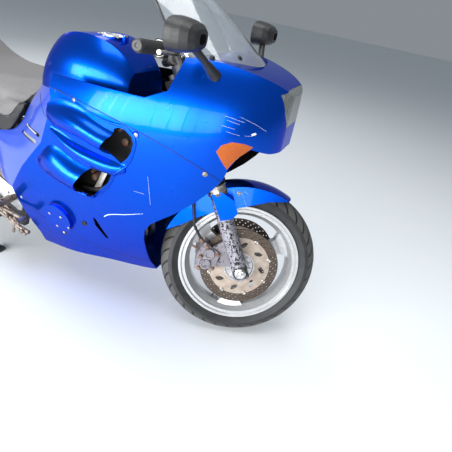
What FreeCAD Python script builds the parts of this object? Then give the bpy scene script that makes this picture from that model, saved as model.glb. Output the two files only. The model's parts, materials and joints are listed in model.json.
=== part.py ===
import FreeCAD, Part
import math
import os

# Sport bike with a full fairing, standing on its centre stand with the steering
# on its left stop. Millimetres. While it is drawn, X points forward, Y to the
# rider's left and Z up, and the point under the straight front axle is zero.
V = FreeCAD.Vector

# Driving dimensions of the chassis
WHEELBASE = 1505.0
RAKE = math.radians(27.0)
TRAIL = 108.0
STEER_AT_REST = 26.0
REAR_TYRE_LIFT = 20.0

# Wheels and tyres
FRONT_TYRE_RADIUS = 300.0
FRONT_TYRE_WIDTH = 120.0
REAR_TYRE_RADIUS = 318.0
REAR_TYRE_WIDTH = 170.0
RIM_EDGE_RADIUS = 230.0
RIM_BEAD_RADIUS = 216.0
RIM_WALL = 8.0
FRONT_RIM_WIDTH = 100.0
REAR_RIM_WIDTH = 130.0
HUB_RADIUS = 48.0
SPOKE_COUNT = 3
FRONT_SPOKE_ANGLE = -32.0
TYRE_SEAT_GAP = 0.3
SPIN_CLEARANCE = 5.0

# Brakes
FRONT_DISC_RADIUS = 148.0
REAR_DISC_RADIUS = 128.0
DISC_THICKNESS = 5.0
DISC_RING_WIDTH = 34.0
DISC_HALF_SPACING = 66.0

# Front fork, measured along the legs from the axle
FORK_HALF_SPACING = 104.0
FORK_LOWER_RADIUS = 29.0
FORK_TUBE_RADIUS = 20.5
FORK_LOWER_LENGTH = 335.0
FORK_SEAL_PROUD = 4.0
FORK_SEAL_HEIGHT = 26.0
LOWER_YOKE_AT = 470.0
UPPER_YOKE_AT = 680.0
YOKE_THICKNESS = 34.0
STEM_RADIUS = 17.5
HEAD_TUBE_RADIUS = 34.0
PIN_CLEARANCE = 0.4

# Front fender
FENDER_GAP = 13.0
FENDER_WALL = 4.0
FENDER_HALF_WIDTH = 72.0
FENDER_SIDE_DEPTH = 92.0
# (ahead of the axle, above the axle), from the front tip to the rear end
FENDER_LOWER_EDGE = [(152, 288), (53, 268), (-14, 241), (-58, 222), (-142, 189), (-181, 168),
                     (-246, 122), (-292, 95)]

# flap over each leg, (ahead of the axle, above the axle)
FENDER_FLAP = [(-58, 222), (-74, 199), (-112, 184), (-160, 268), (-128, 284), (-78, 262)]

# Fairing panels
PANEL_WALL = 4.0
PANEL_GAP = 0.7
SEAT_GAP = 0.3
NOSE_X = 72.0
NOSE_DEPTH = 32.0
FAIRING_REAR_X = -1020.0

# Swingarm and rear suspension
SWINGARM_PIVOT = (-940.0, 400.0)
SWINGARM_INNER = 118.0
SWINGARM_WALL = 30.0
SWINGARM_HEIGHT = 62.0
CHAIN_LINE = 101.0
CHAIN_WIDTH = 16.0
FRONT_SPROCKET_RADIUS = 38.0
REAR_SPROCKET_RADIUS = 92.0

# Stands
CENTRE_STAND_PIVOT = (-1100.0, 215.0)
CENTRE_STAND_REACH = 36.0
CENTRE_STAND_HALF_WIDTH = 187.0
SIDE_STAND_PIVOT = (-884.0, 222.0, 232.0)
SIDE_STAND_LENGTH = 190.0
SIDE_STAND_TILT = math.radians(14.0)

# Places that follow from the driving dimensions
STEER_AXIS = V(-math.sin(RAKE), 0, math.cos(RAKE))
FORWARD_OF_AXIS = V(math.cos(RAKE), 0, math.sin(RAKE))
AXIS_FOOT = V(TRAIL, 0, 0)
FRONT_AXLE = V(0, 0, FRONT_TYRE_RADIUS)
AXLE_OFFSET = FRONT_TYRE_RADIUS * math.sin(RAKE) - TRAIL * math.cos(RAKE)


def turn_on_steering(point_or_direction, about):
    """The rest position of something drawn with the steering straight ahead."""
    turn = FreeCAD.Rotation(STEER_AXIS, STEER_AT_REST)
    return turn.multVec(point_or_direction - about) + about


def lowest_point_of_front_tyre():
    """Height of the steered tyre's lowest point: its crown is part of a torus."""
    centre = turn_on_steering(FRONT_AXLE, AXIS_FOOT)
    spin_axis = FreeCAD.Rotation(STEER_AXIS, STEER_AT_REST).multVec(V(0, 1, 0))
    crown = FRONT_TYRE_WIDTH / 2 + 2
    ring = FRONT_TYRE_RADIUS - crown
    return centre.z - ring * math.sqrt(1 - spin_axis.z ** 2) - crown


FLOOR_Z = lowest_point_of_front_tyre()
REAR_AXLE = V(-WHEELBASE, 0, FLOOR_Z + REAR_TYRE_RADIUS + REAR_TYRE_LIFT)


def fork_point(along, side=0.0, forward=0.0):
    """A point measured along the fork leg from the axle, to a side, ahead of it."""
    return FRONT_AXLE + STEER_AXIS * along + FORWARD_OF_AXIS * forward + V(0, side, 0)


def slab(x0, x1, y0, y1, z0, z1):
    return Part.makeBox(abs(x1 - x0), abs(y1 - y0), abs(z1 - z0),
                        V(min(x0, x1), min(y0, y1), min(z0, z1)))


def rod(start, end, radius):
    run = end - start
    return Part.makeCylinder(radius, run.Length, start, run)


def ring(start, end, outer, inner):
    return rod(start, end, outer).cut(rod(start, end, inner))


def mirrored(shape):
    return shape.mirror(V(0, 0, 0), V(0, 1, 0))


def both_sides(shape):
    return [shape, mirrored(shape)]


def joined(shapes):
    first, rest = shapes[0], shapes[1:]
    return first.fuse(rest).removeSplitter() if rest else first


def side_prism(outline, y0, y1):
    """A side view's outline of (x, z) points, pushed from y0 to y1."""
    corners = [V(x, y0, z) for x, z in outline]
    wire = Part.makePolygon(corners + [corners[0]])
    return Part.Face(wire).extrude(V(0, y1 - y0, 0))


def bent_tube(points, radius, bend):
    """A tube on straight runs joined by arcs of one bend radius."""
    corners = [V(*p) for p in points]
    edges = []
    start = corners[0]
    for here, after in zip(corners[1:], corners[2:]):
        came = (here - start).normalize()
        goes = (after - here).normalize()
        turn = came.getAngle(goes)
        back = bend * math.tan(turn / 2)
        first = here - came * back
        last = here + goes * back
        inward = (goes - came).normalize()
        middle = here + inward * (bend / math.cos(turn / 2) - bend)
        edges.append(Part.LineSegment(start, first).toShape())
        edges.append(Part.Arc(first, middle, last).toShape())
        start = last
    edges.append(Part.LineSegment(start, corners[-1]).toShape())
    path = Part.Wire(edges)
    first_run = edges[0]
    begin = first_run.Vertexes[0].Point
    ahead = first_run.Vertexes[-1].Point - begin
    section = Part.Wire(Part.makeCircle(radius, begin, ahead))
    return path.makePipeShell([section], True, True)


def turned_profile(outline, centre, width_axis=V(0, 1, 0)):
    """A closed outline of (radius, y) points or arcs of three, turned round."""
    edges = []
    for piece in outline:
        ends = [V(centre.x + r, centre.y + y, centre.z) for r, y in piece]
        if len(ends) == 3:
            edges.append(Part.Arc(*ends).toShape())
        else:
            edges.append(Part.LineSegment(*ends).toShape())
    face = Part.Face(Part.Wire(edges))
    return face.revolve(centre, width_axis, 360)


def polygon_profile(points):
    """The straight edges of a closed outline, for turned_profile."""
    return list(zip(points, points[1:] + points[:1]))


parts = {}


# Tyres: a round crown over a rim seat, one solid ring each
def tyre(centre, radius, width, rim_width):
    half = width / 2
    crown = half + 2
    ring_radius = radius - crown
    shoulder = ring_radius + math.sqrt(crown ** 2 - half ** 2)
    seat_half = rim_width / 2 - RIM_WALL
    seat_radius = RIM_BEAD_RADIUS + TYRE_SEAT_GAP
    lip = (RIM_EDGE_RADIUS + 3, seat_half + 2)
    outline = [
        ((seat_radius, -seat_half), (seat_radius, seat_half)),
        ((seat_radius, seat_half), (RIM_EDGE_RADIUS - 2, seat_half)),
        ((RIM_EDGE_RADIUS - 2, seat_half), lip),
        (lip, (shoulder, half)),
        ((shoulder, half), (radius, 0), (shoulder, -half)),
        ((shoulder, -half), (lip[0], -lip[1])),
        ((lip[0], -lip[1]), (RIM_EDGE_RADIUS - 2, -seat_half)),
        ((RIM_EDGE_RADIUS - 2, -seat_half), (seat_radius, -seat_half)),
    ]
    return turned_profile(outline, centre)


# Cast wheels: a stepped rim, three broad spokes that flare at both ends, a hub
def cast_wheel(centre, rim_width, hub_half, first_angle):
    half = rim_width / 2
    edge, bead = RIM_EDGE_RADIUS, RIM_BEAD_RADIUS
    well = bead - 18
    rim = [
        (edge, half), (edge, half - RIM_WALL + 2), (bead, half - RIM_WALL),
        (bead, half - 22), (well, half - 32), (well, 32 - half), (bead, 22 - half),
        (bead, RIM_WALL - half), (edge, RIM_WALL - 2 - half), (edge, -half),
        (edge - 9, -half), (edge - 13, 5 - half), (edge - 24, 5 - half),
        (edge - 27, 12 - half), (well - 9, 34 - half), (well - 9, half - 34),
        (edge - 27, half - 12), (edge - 24, half - 5), (edge - 13, half - 5),
        (edge - 9, half),
    ]
    solids = [turned_profile(polygon_profile(rim), centre)]
    across = V(0, hub_half, 0)
    solids.append(rod(centre - across, centre + across, HUB_RADIUS))
    # columns: radius, half width in the wheel's plane, half depth across it
    spoke_stations = [(HUB_RADIUS - 8, 36, 32), (105, 25, 18), (160, 30, 17), (well - 4, 58, 24)]
    sections = []
    for radius, half_wide, half_deep in spoke_stations:
        corners = [V(radius, -half_deep, -half_wide), V(radius, half_deep, -half_wide),
                   V(radius, half_deep, half_wide), V(radius, -half_deep, half_wide)]
        sections.append(Part.makePolygon(corners + [corners[0]]))
    spoke = Part.makeLoft(sections, True, True)
    for index in range(SPOKE_COUNT):
        blade = spoke.copy()
        blade.rotate(V(0, 0, 0), V(0, 1, 0), first_angle + index * 360 / SPOKE_COUNT)
        blade.translate(centre)
        solids.append(blade)
    return joined(solids)


def brake_disc(centre, radius, y_face, outward, hub_seat):
    """A ring and its carrier, seated on the hub's end at y_face."""
    start = V(centre.x, y_face, centre.z)
    end = start + V(0, outward * DISC_THICKNESS, 0)
    inner_edge = radius - DISC_RING_WIDTH
    ring_part = ring(start, end, radius, inner_edge + 1)
    carrier = ring(start, end, inner_edge, hub_seat)
    bobbins = []
    for index in range(8):
        angle = index * math.pi / 4
        spot = V(math.cos(angle), 0, math.sin(angle)) * (inner_edge + 0.5)
        bobbins.append(rod(start + spot, end + spot, 8))
    return joined([ring_part, carrier] + bobbins)


FRONT_HUB_HALF = DISC_HALF_SPACING - DISC_THICKNESS / 2
REAR_HUB_HALF = 84.0
parts["front_tyre"] = tyre(FRONT_AXLE, FRONT_TYRE_RADIUS, FRONT_TYRE_WIDTH, FRONT_RIM_WIDTH)
AXLE_RADIUS = 10.0


def bored(wheel, centre):
    """The wheel with its axle bore."""
    far = V(0, 200, 0)
    return wheel.cut(rod(centre - far, centre + far, AXLE_RADIUS + PIN_CLEARANCE))


front_wheel = cast_wheel(FRONT_AXLE, FRONT_RIM_WIDTH, FRONT_HUB_HALF, FRONT_SPOKE_ANGLE)
parts["front_rim"] = bored(front_wheel, FRONT_AXLE)
front_discs = []
for side in (1, -1):
    front_discs.append(brake_disc(FRONT_AXLE, FRONT_DISC_RADIUS, side * FRONT_HUB_HALF, side, 30.0))
parts["front_discs"] = Part.makeCompound(front_discs)

parts["rear_tyre"] = tyre(REAR_AXLE, REAR_TYRE_RADIUS, REAR_TYRE_WIDTH, REAR_RIM_WIDTH)
parts["rear_rim"] = bored(cast_wheel(REAR_AXLE, REAR_RIM_WIDTH, REAR_HUB_HALF, -10.0), REAR_AXLE)
parts["rear_disc"] = brake_disc(REAR_AXLE, REAR_DISC_RADIUS, -REAR_HUB_HALF, -1, 30.0)

# Rear sprocket on the hub's left end
sprocket_start = V(REAR_AXLE.x, REAR_HUB_HALF, REAR_AXLE.z)
sprocket_seat = sprocket_start + V(0, CHAIN_LINE - 4 - REAR_HUB_HALF, 0)
sprocket_end = sprocket_seat + V(0, 8, 0)
sprocket = joined([
    ring(sprocket_seat, sprocket_end, REAR_SPROCKET_RADIUS, 55),
    ring(sprocket_start, sprocket_end, 62, 30),
])
parts["rear_sprocket"] = sprocket


# Fork: lower legs with the axle clamps, chromed tubes, yokes and steering stem
def fork_lower(side):
    leg = rod(fork_point(-30, side), fork_point(FORK_LOWER_LENGTH, side), FORK_LOWER_RADIUS)
    seal = rod(fork_point(FORK_LOWER_LENGTH - FORK_SEAL_HEIGHT, side), fork_point(FORK_LOWER_LENGTH, side),
               FORK_LOWER_RADIUS + FORK_SEAL_PROUD)
    out = math.copysign(1, side)
    boss = rod(FRONT_AXLE + V(0, side - out * 30, 0), FRONT_AXLE + V(0, side + out * 27, 0), 26)
    body = joined([leg, seal, boss])
    bore = rod(FRONT_AXLE - V(0, 150, 0), FRONT_AXLE + V(0, 150, 0), AXLE_RADIUS + PIN_CLEARANCE)
    tube_seat = rod(fork_point(150, side), fork_point(FORK_LOWER_LENGTH + 5, side),
                    FORK_TUBE_RADIUS + PIN_CLEARANCE)
    return body.cut(bore).cut(tube_seat)


def fork_tube(side):
    return rod(fork_point(150 + SEAT_GAP, side), fork_point(UPPER_YOKE_AT + YOKE_THICKNESS / 2 + 18, side),
               FORK_TUBE_RADIUS)


SIDES = (FORK_HALF_SPACING, -FORK_HALF_SPACING)
parts["fork_lowers"] = Part.makeCompound([fork_lower(side) for side in SIDES])
parts["fork_tubes"] = Part.makeCompound([fork_tube(side) for side in SIDES])
parts["front_axle"] = rod(FRONT_AXLE - V(0, 140, 0), FRONT_AXLE + V(0, 140, 0), AXLE_RADIUS)
for side in (1, -1):
    nut = rod(FRONT_AXLE + V(0, side * 133.4, 0), FRONT_AXLE + V(0, side * 146, 0), 15)
    parts["front_axle"] = parts["front_axle"].fuse(nut)
    collar = rod(FRONT_AXLE + V(0, side * (FRONT_HUB_HALF + SEAT_GAP), 0),
                 FRONT_AXLE + V(0, side * (FORK_HALF_SPACING - 30.3), 0), 18)
    parts["front_axle"] = parts["front_axle"].fuse(collar)


def yoke(at, thickness):
    """A clamp bridge across both legs and the stem, swept back to the stem."""
    low = at - thickness / 2
    high = at + thickness / 2
    lugs = [rod(fork_point(low, side), fork_point(high, side), FORK_TUBE_RADIUS + 13) for side in SIDES]
    middle = rod(fork_point(low, 0, -AXLE_OFFSET), fork_point(high, 0, -AXLE_OFFSET), 36)
    web_half = FORK_HALF_SPACING
    corners = [fork_point(low, -web_half, 22), fork_point(low, web_half, 22),
               fork_point(low, web_half, -24), fork_point(low, 30, -AXLE_OFFSET - 26),
               fork_point(low, -30, -AXLE_OFFSET - 26), fork_point(low, -web_half, -24)]
    web = Part.Face(Part.makePolygon(corners + [corners[0]])).extrude(STEER_AXIS * thickness)
    body = joined(lugs + [middle, web])
    for side in SIDES:
        body = body.cut(rod(fork_point(low - 5, side), fork_point(high + 5, side),
                            FORK_TUBE_RADIUS + PIN_CLEARANCE))
    return body


HEAD_LOW = LOWER_YOKE_AT + YOKE_THICKNESS / 2 + 2
HEAD_HIGH = UPPER_YOKE_AT - YOKE_THICKNESS / 2 - 2
stem = rod(fork_point(LOWER_YOKE_AT - 14, 0, -AXLE_OFFSET),
           fork_point(UPPER_YOKE_AT + 34, 0, -AXLE_OFFSET), STEM_RADIUS)
parts["yokes"] = joined([yoke(LOWER_YOKE_AT, YOKE_THICKNESS), yoke(UPPER_YOKE_AT, YOKE_THICKNESS), stem])


# Calipers: a slotted body over the disc, behind each leg, on a bracket to it
CALIPER_INNER = 92.0
CALIPER_OUTER = FRONT_DISC_RADIUS + 20
CALIPER_ANGLES = (150, 169, 188)
WIDE = 400.0


def caliper(side):
    sign = 1 if side > 0 else -1
    disc_y = sign * DISC_HALF_SPACING
    slot_half = DISC_THICKNESS / 2 + SPIN_CLEARANCE
    outer_y = disc_y + sign * 38
    inner_y = disc_y - sign * 24
    block = ring(V(0, inner_y, FRONT_AXLE.z), V(0, outer_y, FRONT_AXLE.z), CALIPER_OUTER, CALIPER_INNER)
    wedge = [(0.0, FRONT_AXLE.z)]
    for angle in CALIPER_ANGLES:
        reach = CALIPER_OUTER * 1.3
        turn = math.radians(angle)
        wedge.append((reach * math.cos(turn), FRONT_AXLE.z + reach * math.sin(turn)))
    body = block.common(side_prism(wedge, -WIDE, WIDE))
    bracket = side_prism([(-28, FRONT_AXLE.z + 4), (-20, FRONT_AXLE.z + 60), (-52, FRONT_AXLE.z + 118),
                          (-120, FRONT_AXLE.z + 62), (-118, FRONT_AXLE.z + 6), (-76, FRONT_AXLE.z - 4)],
                         disc_y + sign * 14, disc_y + sign * 26)
    body = body.fuse(bracket)
    slot = ring(V(0, disc_y - sign * slot_half, FRONT_AXLE.z), V(0, disc_y + sign * slot_half, FRONT_AXLE.z),
                FRONT_DISC_RADIUS + SPIN_CLEARANCE, 1)
    legs = rod(fork_point(-40, side), fork_point(FORK_LOWER_LENGTH, side), FORK_LOWER_RADIUS + SEAT_GAP)
    boss = rod(FRONT_AXLE + V(0, side - 31, 0), FRONT_AXLE + V(0, side + 31, 0), 26 + SEAT_GAP)
    return body.cut(slot).cut(legs).cut(boss).removeSplitter()


parts["front_calipers"] = Part.makeCompound([caliper(side) for side in SIDES])


# Front fender: a curved channel over the tyre with a flap round each leg
def fender():
    inner = FRONT_TYRE_RADIUS + FENDER_GAP
    outer = inner + FENDER_WALL
    half = FENDER_HALF_WIDTH
    low = inner - FENDER_SIDE_DEPTH
    outline = [
        ((low, half), (inner - 10, half - 4)),
        ((inner - 10, half - 4), (inner, 0), (inner - 10, 4 - half)),
        ((inner - 10, 4 - half), (low, -half)),
        ((low, -half), (low, -half - FENDER_WALL)),
        ((low, -half - FENDER_WALL), (outer - 10, -half)),
        ((outer - 10, -half), (outer, 0), (outer - 10, half)),
        ((outer - 10, half), (low, half + FENDER_WALL)),
        ((low, half + FENDER_WALL), (low, half)),
    ]
    channel = turned_profile(outline, FRONT_AXLE)
    outline_above_axle = [(x, FRONT_AXLE.z + z) for x, z in FENDER_LOWER_EDGE]
    far = FRONT_TYRE_RADIUS + 150
    sky = [(-far, FRONT_AXLE.z + 95), (-far, FRONT_AXLE.z + far), (180, FRONT_AXLE.z + far)]
    arch = channel.common(side_prism(outline_above_axle + sky, -200, 200))
    leg_room = FORK_LOWER_RADIUS + SEAT_GAP
    flap = side_prism([(x, FRONT_AXLE.z + z) for x, z in FENDER_FLAP], FENDER_HALF_WIDTH,
                      FORK_HALF_SPACING + FORK_LOWER_RADIUS + FENDER_WALL)
    body = joined([arch] + both_sides(flap))
    for side in SIDES:
        body = body.cut(rod(fork_point(0, side), fork_point(FORK_LOWER_LENGTH, side), leg_room))
        body = body.cut(rod(fork_point(FORK_LOWER_LENGTH - FORK_SEAL_HEIGHT - SEAT_GAP, side),
                            fork_point(FORK_LOWER_LENGTH, side), leg_room + FORK_SEAL_PROUD))
    return body


parts["front_fender"] = fender()


# Handlebars: a clamp on each fork tube, a bar, its grip, lever and switch box
BAR_DIRECTION = V(-0.30, 1.0, -0.10).normalize()
bars, grips, levers = [], [], []
for sign in (1, -1):
    run = V(BAR_DIRECTION.x, sign * BAR_DIRECTION.y, BAR_DIRECTION.z)
    clamp_low = fork_point(UPPER_YOKE_AT + YOKE_THICKNESS / 2 + SEAT_GAP, sign * FORK_HALF_SPACING)
    clamp_high = clamp_low + STEER_AXIS * 34
    clamp = rod(clamp_low, clamp_high, FORK_TUBE_RADIUS + 12)
    root = clamp_low + STEER_AXIS * 22 + V(-30, 0, 45)
    riser = rod(clamp_low + STEER_AXIS * 17, root, 15)
    bar = rod(root, root + run * 255, 11)
    body = joined([clamp, riser, bar])
    bars.append(body.cut(rod(clamp_low - STEER_AXIS * 5, clamp_low + STEER_AXIS * 18.5,
                             FORK_TUBE_RADIUS + PIN_CLEARANCE)))
    grips.append(ring(root + run * 128, root + run * 252, 17, 11 + SEAT_GAP))
    box_start = root + run * 88
    perch = ring(box_start, root + run * 126, 22, 11 + SEAT_GAP)
    pivot = box_start + run * 12 + V(42, 0, -4)
    arm = rod(box_start + run * 14 + V(16, 0, -2), pivot, 8)
    lever = rod(pivot, pivot + run * 150 + V(10, 0, 0), 6)
    levers.append(joined([perch, arm, lever]))
parts["handlebars"] = Part.makeCompound(bars)
parts["grips"] = Part.makeCompound(grips)
parts["levers"] = Part.makeCompound(levers)

# Brake hoses, held under the lower yoke and in the top of each caliper
hoses = []
for side, caliper_solid in zip(SIDES, parts["front_calipers"].Solids):
    top = fork_point(LOWER_YOKE_AT, side, -31)
    below = fork_point(LOWER_YOKE_AT - 70, side, -34)
    hose = bent_tube([tuple(top), tuple(below), (-214, side, 520), (-196, side * 0.98, 440),
                      (-150, side * 0.86, 372)], 5, 40)
    hoses.append(hose.cut(parts["yokes"]).cut(caliper_solid))
parts["brake_hoses"] = Part.makeCompound(hoses)

STEERED = ["front_tyre", "front_rim", "front_discs", "fork_lowers", "fork_tubes", "front_axle",
           "yokes", "front_calipers", "front_fender", "handlebars", "grips", "levers",
           "brake_hoses"]


# Fairing: one hull of stations, each a belly line, two side arcs and a top line
def hull_section(station, inset):
    """Section of the hull: the side arcs stand upright at its widest height."""
    x, z_low, half_low, z_wide, half_wide, z_top, half_top = station
    low, wide, top = half_low - inset, half_wide - inset, half_top - inset
    z_low, z_top = z_low + inset, z_top - inset

    def on_arc(half_end, z_end):
        drop = abs(z_end - z_wide)
        narrow = wide - half_end
        radius = (narrow ** 2 + drop ** 2) / (2 * narrow)
        angle = math.asin(drop / radius) / 2
        up = 1 if z_end > z_wide else -1
        return wide - radius * (1 - math.cos(angle)), z_wide + up * radius * math.sin(angle)

    low_mid, top_mid = on_arc(low, z_low), on_arc(top, z_top)

    def spot(y, z):
        return V(x, y, z)

    edges = [
        Part.LineSegment(spot(-low, z_low), spot(low, z_low)),
        Part.Arc(spot(low, z_low), spot(*low_mid), spot(wide, z_wide)),
        Part.Arc(spot(wide, z_wide), spot(*top_mid), spot(top, z_top)),
        Part.LineSegment(spot(top, z_top), spot(-top, z_top)),
        Part.Arc(spot(-top, z_top), spot(-top_mid[0], top_mid[1]), spot(-wide, z_wide)),
        Part.Arc(spot(-wide, z_wide), spot(-low_mid[0], low_mid[1]), spot(-low, z_low)),
    ]
    return Part.Wire([edge.toShape() for edge in edges])


# columns: x, belly height, belly half width, height of widest, half width, top, top half width
FAIRING_STATIONS = [
    (NOSE_X, 640, 12, 850, 56, 956, 40),
    (NOSE_X - 9, 620, 24, 846, 96, 968, 74),
    (NOSE_X - NOSE_DEPTH, 590, 46, 838, 138, 982, 98),
    (-60, 480, 120, 812, 222, 1010, 150),
    (-160, 300, 128, 792, 264, 1018, 185),
    (-300, 198, 112, 770, 288, 1000, 215),
    (-480, 182, 140, 750, 288, 965, 222),
    (-670, 160, 160, 720, 272, 915, 215),
    (-880, 142, 168, 690, 254, 860, 200),
    (FAIRING_REAR_X, 135, 170, 670, 228, 815, 180),
]


def fairing_hull(inset):
    """The hull, moved in by inset all round, and back by as much at its nose."""
    sections = []
    for x, *sizes in FAIRING_STATIONS:
        nose_share = max(0, 1 - (NOSE_X - x) / NOSE_DEPTH)
        sections.append(hull_section((x - inset * nose_share, *sizes), inset))
    return Part.makeLoft(sections, True, False)


fairing_outer = fairing_hull(0)
fairing_inner = fairing_hull(PANEL_WALL)
fairing_room = fairing_hull(PANEL_WALL + SEAT_GAP)
fairing_shell = fairing_outer.cut(fairing_inner)


# Outlines of the panels in side view, as (x, z), each corner a seam or an edge
SEAM = [(-50, 697), (-110, 736), (-199, 774), (-311, 804), (-435, 823), (-556, 835), (-652, 840)]
WHEEL_ARCH = [(-50, 697), (-73, 660), (-116, 608), (-174, 551), (-223, 511), (-259, 479), (-284, 439),
              (-294, 390), (-297, 296)]
BELLY_SEAM = [(-296, 258), (-441, 244), (-569, 262), (-600, 288), (-736, 308), (-862, 348)]
FAIRING_TAIL = [(-862, 348), (-879, 404), (-790, 525), (-683, 651), (-640, 765), (-640, 805), (-652, 840)]
BELLY_EDGE = [(-862, 348), (-808, 203), (-800, 100), (-280, 100), (-286, 215), (-296, 258)]
NOSE_UNDERSIDE = [(NOSE_X + 30, 786), (52, 790), (10, 806), (-14, 786), (-36, 744), (-50, 697)]
UPPER_TAIL = [(-652, 840), (-640, 1100), (NOSE_X + 30, 1100)]
COCKPIT_EDGE = [(-215, 1100), (-220, 1002), (-236, 925), (-300, 893), (-480, 886), (-660, 876), (-660, 1100)]
INDICATOR = [(14, 814), (-8, 822), (-39, 824), (-64, 811), (-74, 790), (-59, 765), (-41, 737), (-33, 753),
             (-17, 779), (2, 799)]
UPPER_VENT = [(-379, 786), (-362, 794), (-341, 791), (-320, 777), (-312, 758), (-318, 731), (-331, 706),
              (-352, 683), (-372, 696), (-415, 714), (-398, 743), (-383, 765)]
LOWER_VENT = [(-472, 628), (-448, 631), (-388, 631), (-403, 598), (-438, 558), (-459, 537), (-479, 524),
              (-508, 517), (-528, 528), (-522, 556), (-492, 606)]
SLOT = [(-493, 418), (-481, 414), (-446, 330), (-458, 327), (-492, 384)]
LAMP_OUTLINE = [(104, 962), (84, 905), (58, 866), (-58, 866), (-84, 905), (-104, 962), (-70, 974), (70, 974)]


def lowered(outline, gap):
    return [(x, z - gap) for x, z in outline]


upper_region = side_prism(NOSE_UNDERSIDE + SEAM[1:] + UPPER_TAIL[1:], -WIDE, WIDE)
cockpit_hole = side_prism(COCKPIT_EDGE, -WIDE, WIDE)
LAMP_REAR_X = 24.0


def lamp_prism(grow):
    """The headlamp's outline, grown by a gap, pushed forward through the nose."""
    middle = V(LAMP_REAR_X, 0, 920)
    corners = []
    for y, z in LAMP_OUTLINE:
        out = V(LAMP_REAR_X, y, z) - middle
        corners.append(middle + out * (1 + grow / out.Length))
    return Part.Face(Part.makePolygon(corners + [corners[0]])).extrude(V(WIDE, 0, 0))


lamp_window = lamp_prism(0)
indicator_prism = side_prism(INDICATOR, -WIDE, -60).fuse(side_prism(INDICATOR, 60, WIDE))

upper = fairing_shell.common(upper_region).cut(cockpit_hole).cut(lamp_prism(PANEL_GAP)).cut(indicator_prism)
parts["upper_fairing"] = upper

lens = fairing_outer.cut(fairing_inner).common(lamp_window)
parts["headlamp_lens"] = lens
indicator_body = fairing_outer.cut(fairing_hull(14)).common(indicator_prism)
parts["front_indicators"] = indicator_body


def bulge(stations, wall):
    """A hood that stands out of the panel: a round lower edge, and above its crest an S into the panel."""
    sections = []
    for x, z_low, z_high, y, height in stations:
        rise = height - wall
        low, high = z_low + wall, z_high - wall
        crest = low + (high - low) * CREST_SHARE
        radius_low = ((crest - low) ** 2 + rise ** 2) / (2 * rise)
        turn_low = math.acos(1 - rise / radius_low) / 2
        half_run, half_rise = (high - crest) / 2, rise / 2
        radius_high = (half_run ** 2 + half_rise ** 2) / (2 * half_rise)
        turn_high = math.acos(1 - half_rise / radius_high) / 2
        sink = y - HOOD_ROOT
        out = sink + rise

        def spot(up, proud):
            return V(x, -proud, up)

        low_end, high_end = spot(low, sink), spot(high, sink)
        crest_top, bend = spot(crest, out), spot(crest + half_run, sink + half_rise)
        low_arc = spot(crest - radius_low * math.sin(turn_low), out - radius_low * (1 - math.cos(turn_low)))
        crest_arc = spot(crest + radius_high * math.sin(turn_high), out - radius_high * (1 - math.cos(turn_high)))
        foot_arc = spot(high - radius_high * math.sin(turn_high), sink + radius_high * (1 - math.cos(turn_high)))
        inward = V(0, HOOD_DEPTH, 0)
        sections.append(Part.Wire([
            Part.Arc(low_end, low_arc, crest_top).toShape(),
            Part.Arc(crest_top, crest_arc, bend).toShape(),
            Part.Arc(bend, foot_arc, high_end).toShape(),
            Part.LineSegment(high_end, high_end + inward).toShape(),
            Part.LineSegment(high_end + inward, low_end + inward).toShape(),
            Part.LineSegment(low_end + inward, low_end).toShape()]))
    return Part.makeLoft(sections, True, False)


CREST_SHARE = 0.36
HOOD_ROOT = 2.0
HOOD_DEPTH = 18.0
# columns: x, z of the lower edge, z of the upper edge, half width of the panel there, height
UPPER_HOOD = [(-648, 742, 790, 273, 6), (-610, 722, 814, 276, 18), (-540, 720, 822, 280, 33),
              (-465, 716, 808, 285, 38), (-370, 704, 792, 288, 36)]
LOUVRE = [(-636, 700, 722, 276, 4), (-590, 676, 716, 279, 14), (-510, 648, 706, 284, 23),
          (-430, 634, 704, 286, 25), (-365, 640, 694, 288, 15), (-336, 656, 688, 289, 4)]
LOWER_HOOD = [(-712, 560, 606, 262, 6), (-684, 544, 640, 264, 17), (-640, 532, 684, 268, 29),
              (-580, 525, 672, 272, 34), (-520, 521, 650, 276, 34), (-462, 519, 642, 276, 31)]
hoods = [bulge(stations, 0) for stations in (UPPER_HOOD, LOUVRE, LOWER_HOOD)]
hood_rooms = [bulge(stations, PANEL_WALL) for stations in (UPPER_HOOD, LOWER_HOOD)]

side_outline = lowered(SEAM, PANEL_GAP) + FAIRING_TAIL[-2::-1] + BELLY_SEAM[-2::-1] + WHEEL_ARCH[-1:0:-1]
side_region = side_prism(side_outline, -WIDE, -40)
side_panel = fairing_shell.common(side_region)
side_panel = side_panel.fuse([hood.cut(fairing_inner) for hood in hoods])
for room in hood_rooms:
    side_panel = side_panel.cut(room)
side_panel = side_panel.cut(side_prism(UPPER_VENT, -WIDE, -200)).cut(side_prism(LOWER_VENT, -WIDE, -200))
side_panel = side_panel.cut(side_prism(SLOT, -WIDE, -190))
parts["side_fairing_right"] = side_panel
parts["side_fairing_left"] = mirrored(side_panel)

# Belly pan, hung from the side panels' lower edge
belly_region = side_prism(lowered(BELLY_SEAM, PANEL_GAP) + BELLY_EDGE[1:-1], -WIDE, WIDE)
parts["belly_pan"] = fairing_shell.common(belly_region)

# Round covers over the crankshaft's ends, seated on the side panels
POD_CENTRE = (-655.0, 352.0)
POD_RADIUS = 60.0
POD_HEIGHT = 16.0
pod_core = Part.makeCylinder(POD_RADIUS, WIDE, V(POD_CENTRE[0], 0, POD_CENTRE[1]), V(0, -1, 0))
pod = fairing_hull(-POD_HEIGHT).cut(fairing_hull(-SEAT_GAP)).common(pod_core)
parts["engine_cover_pods"] = Part.makeCompound(both_sides(pod))

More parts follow.
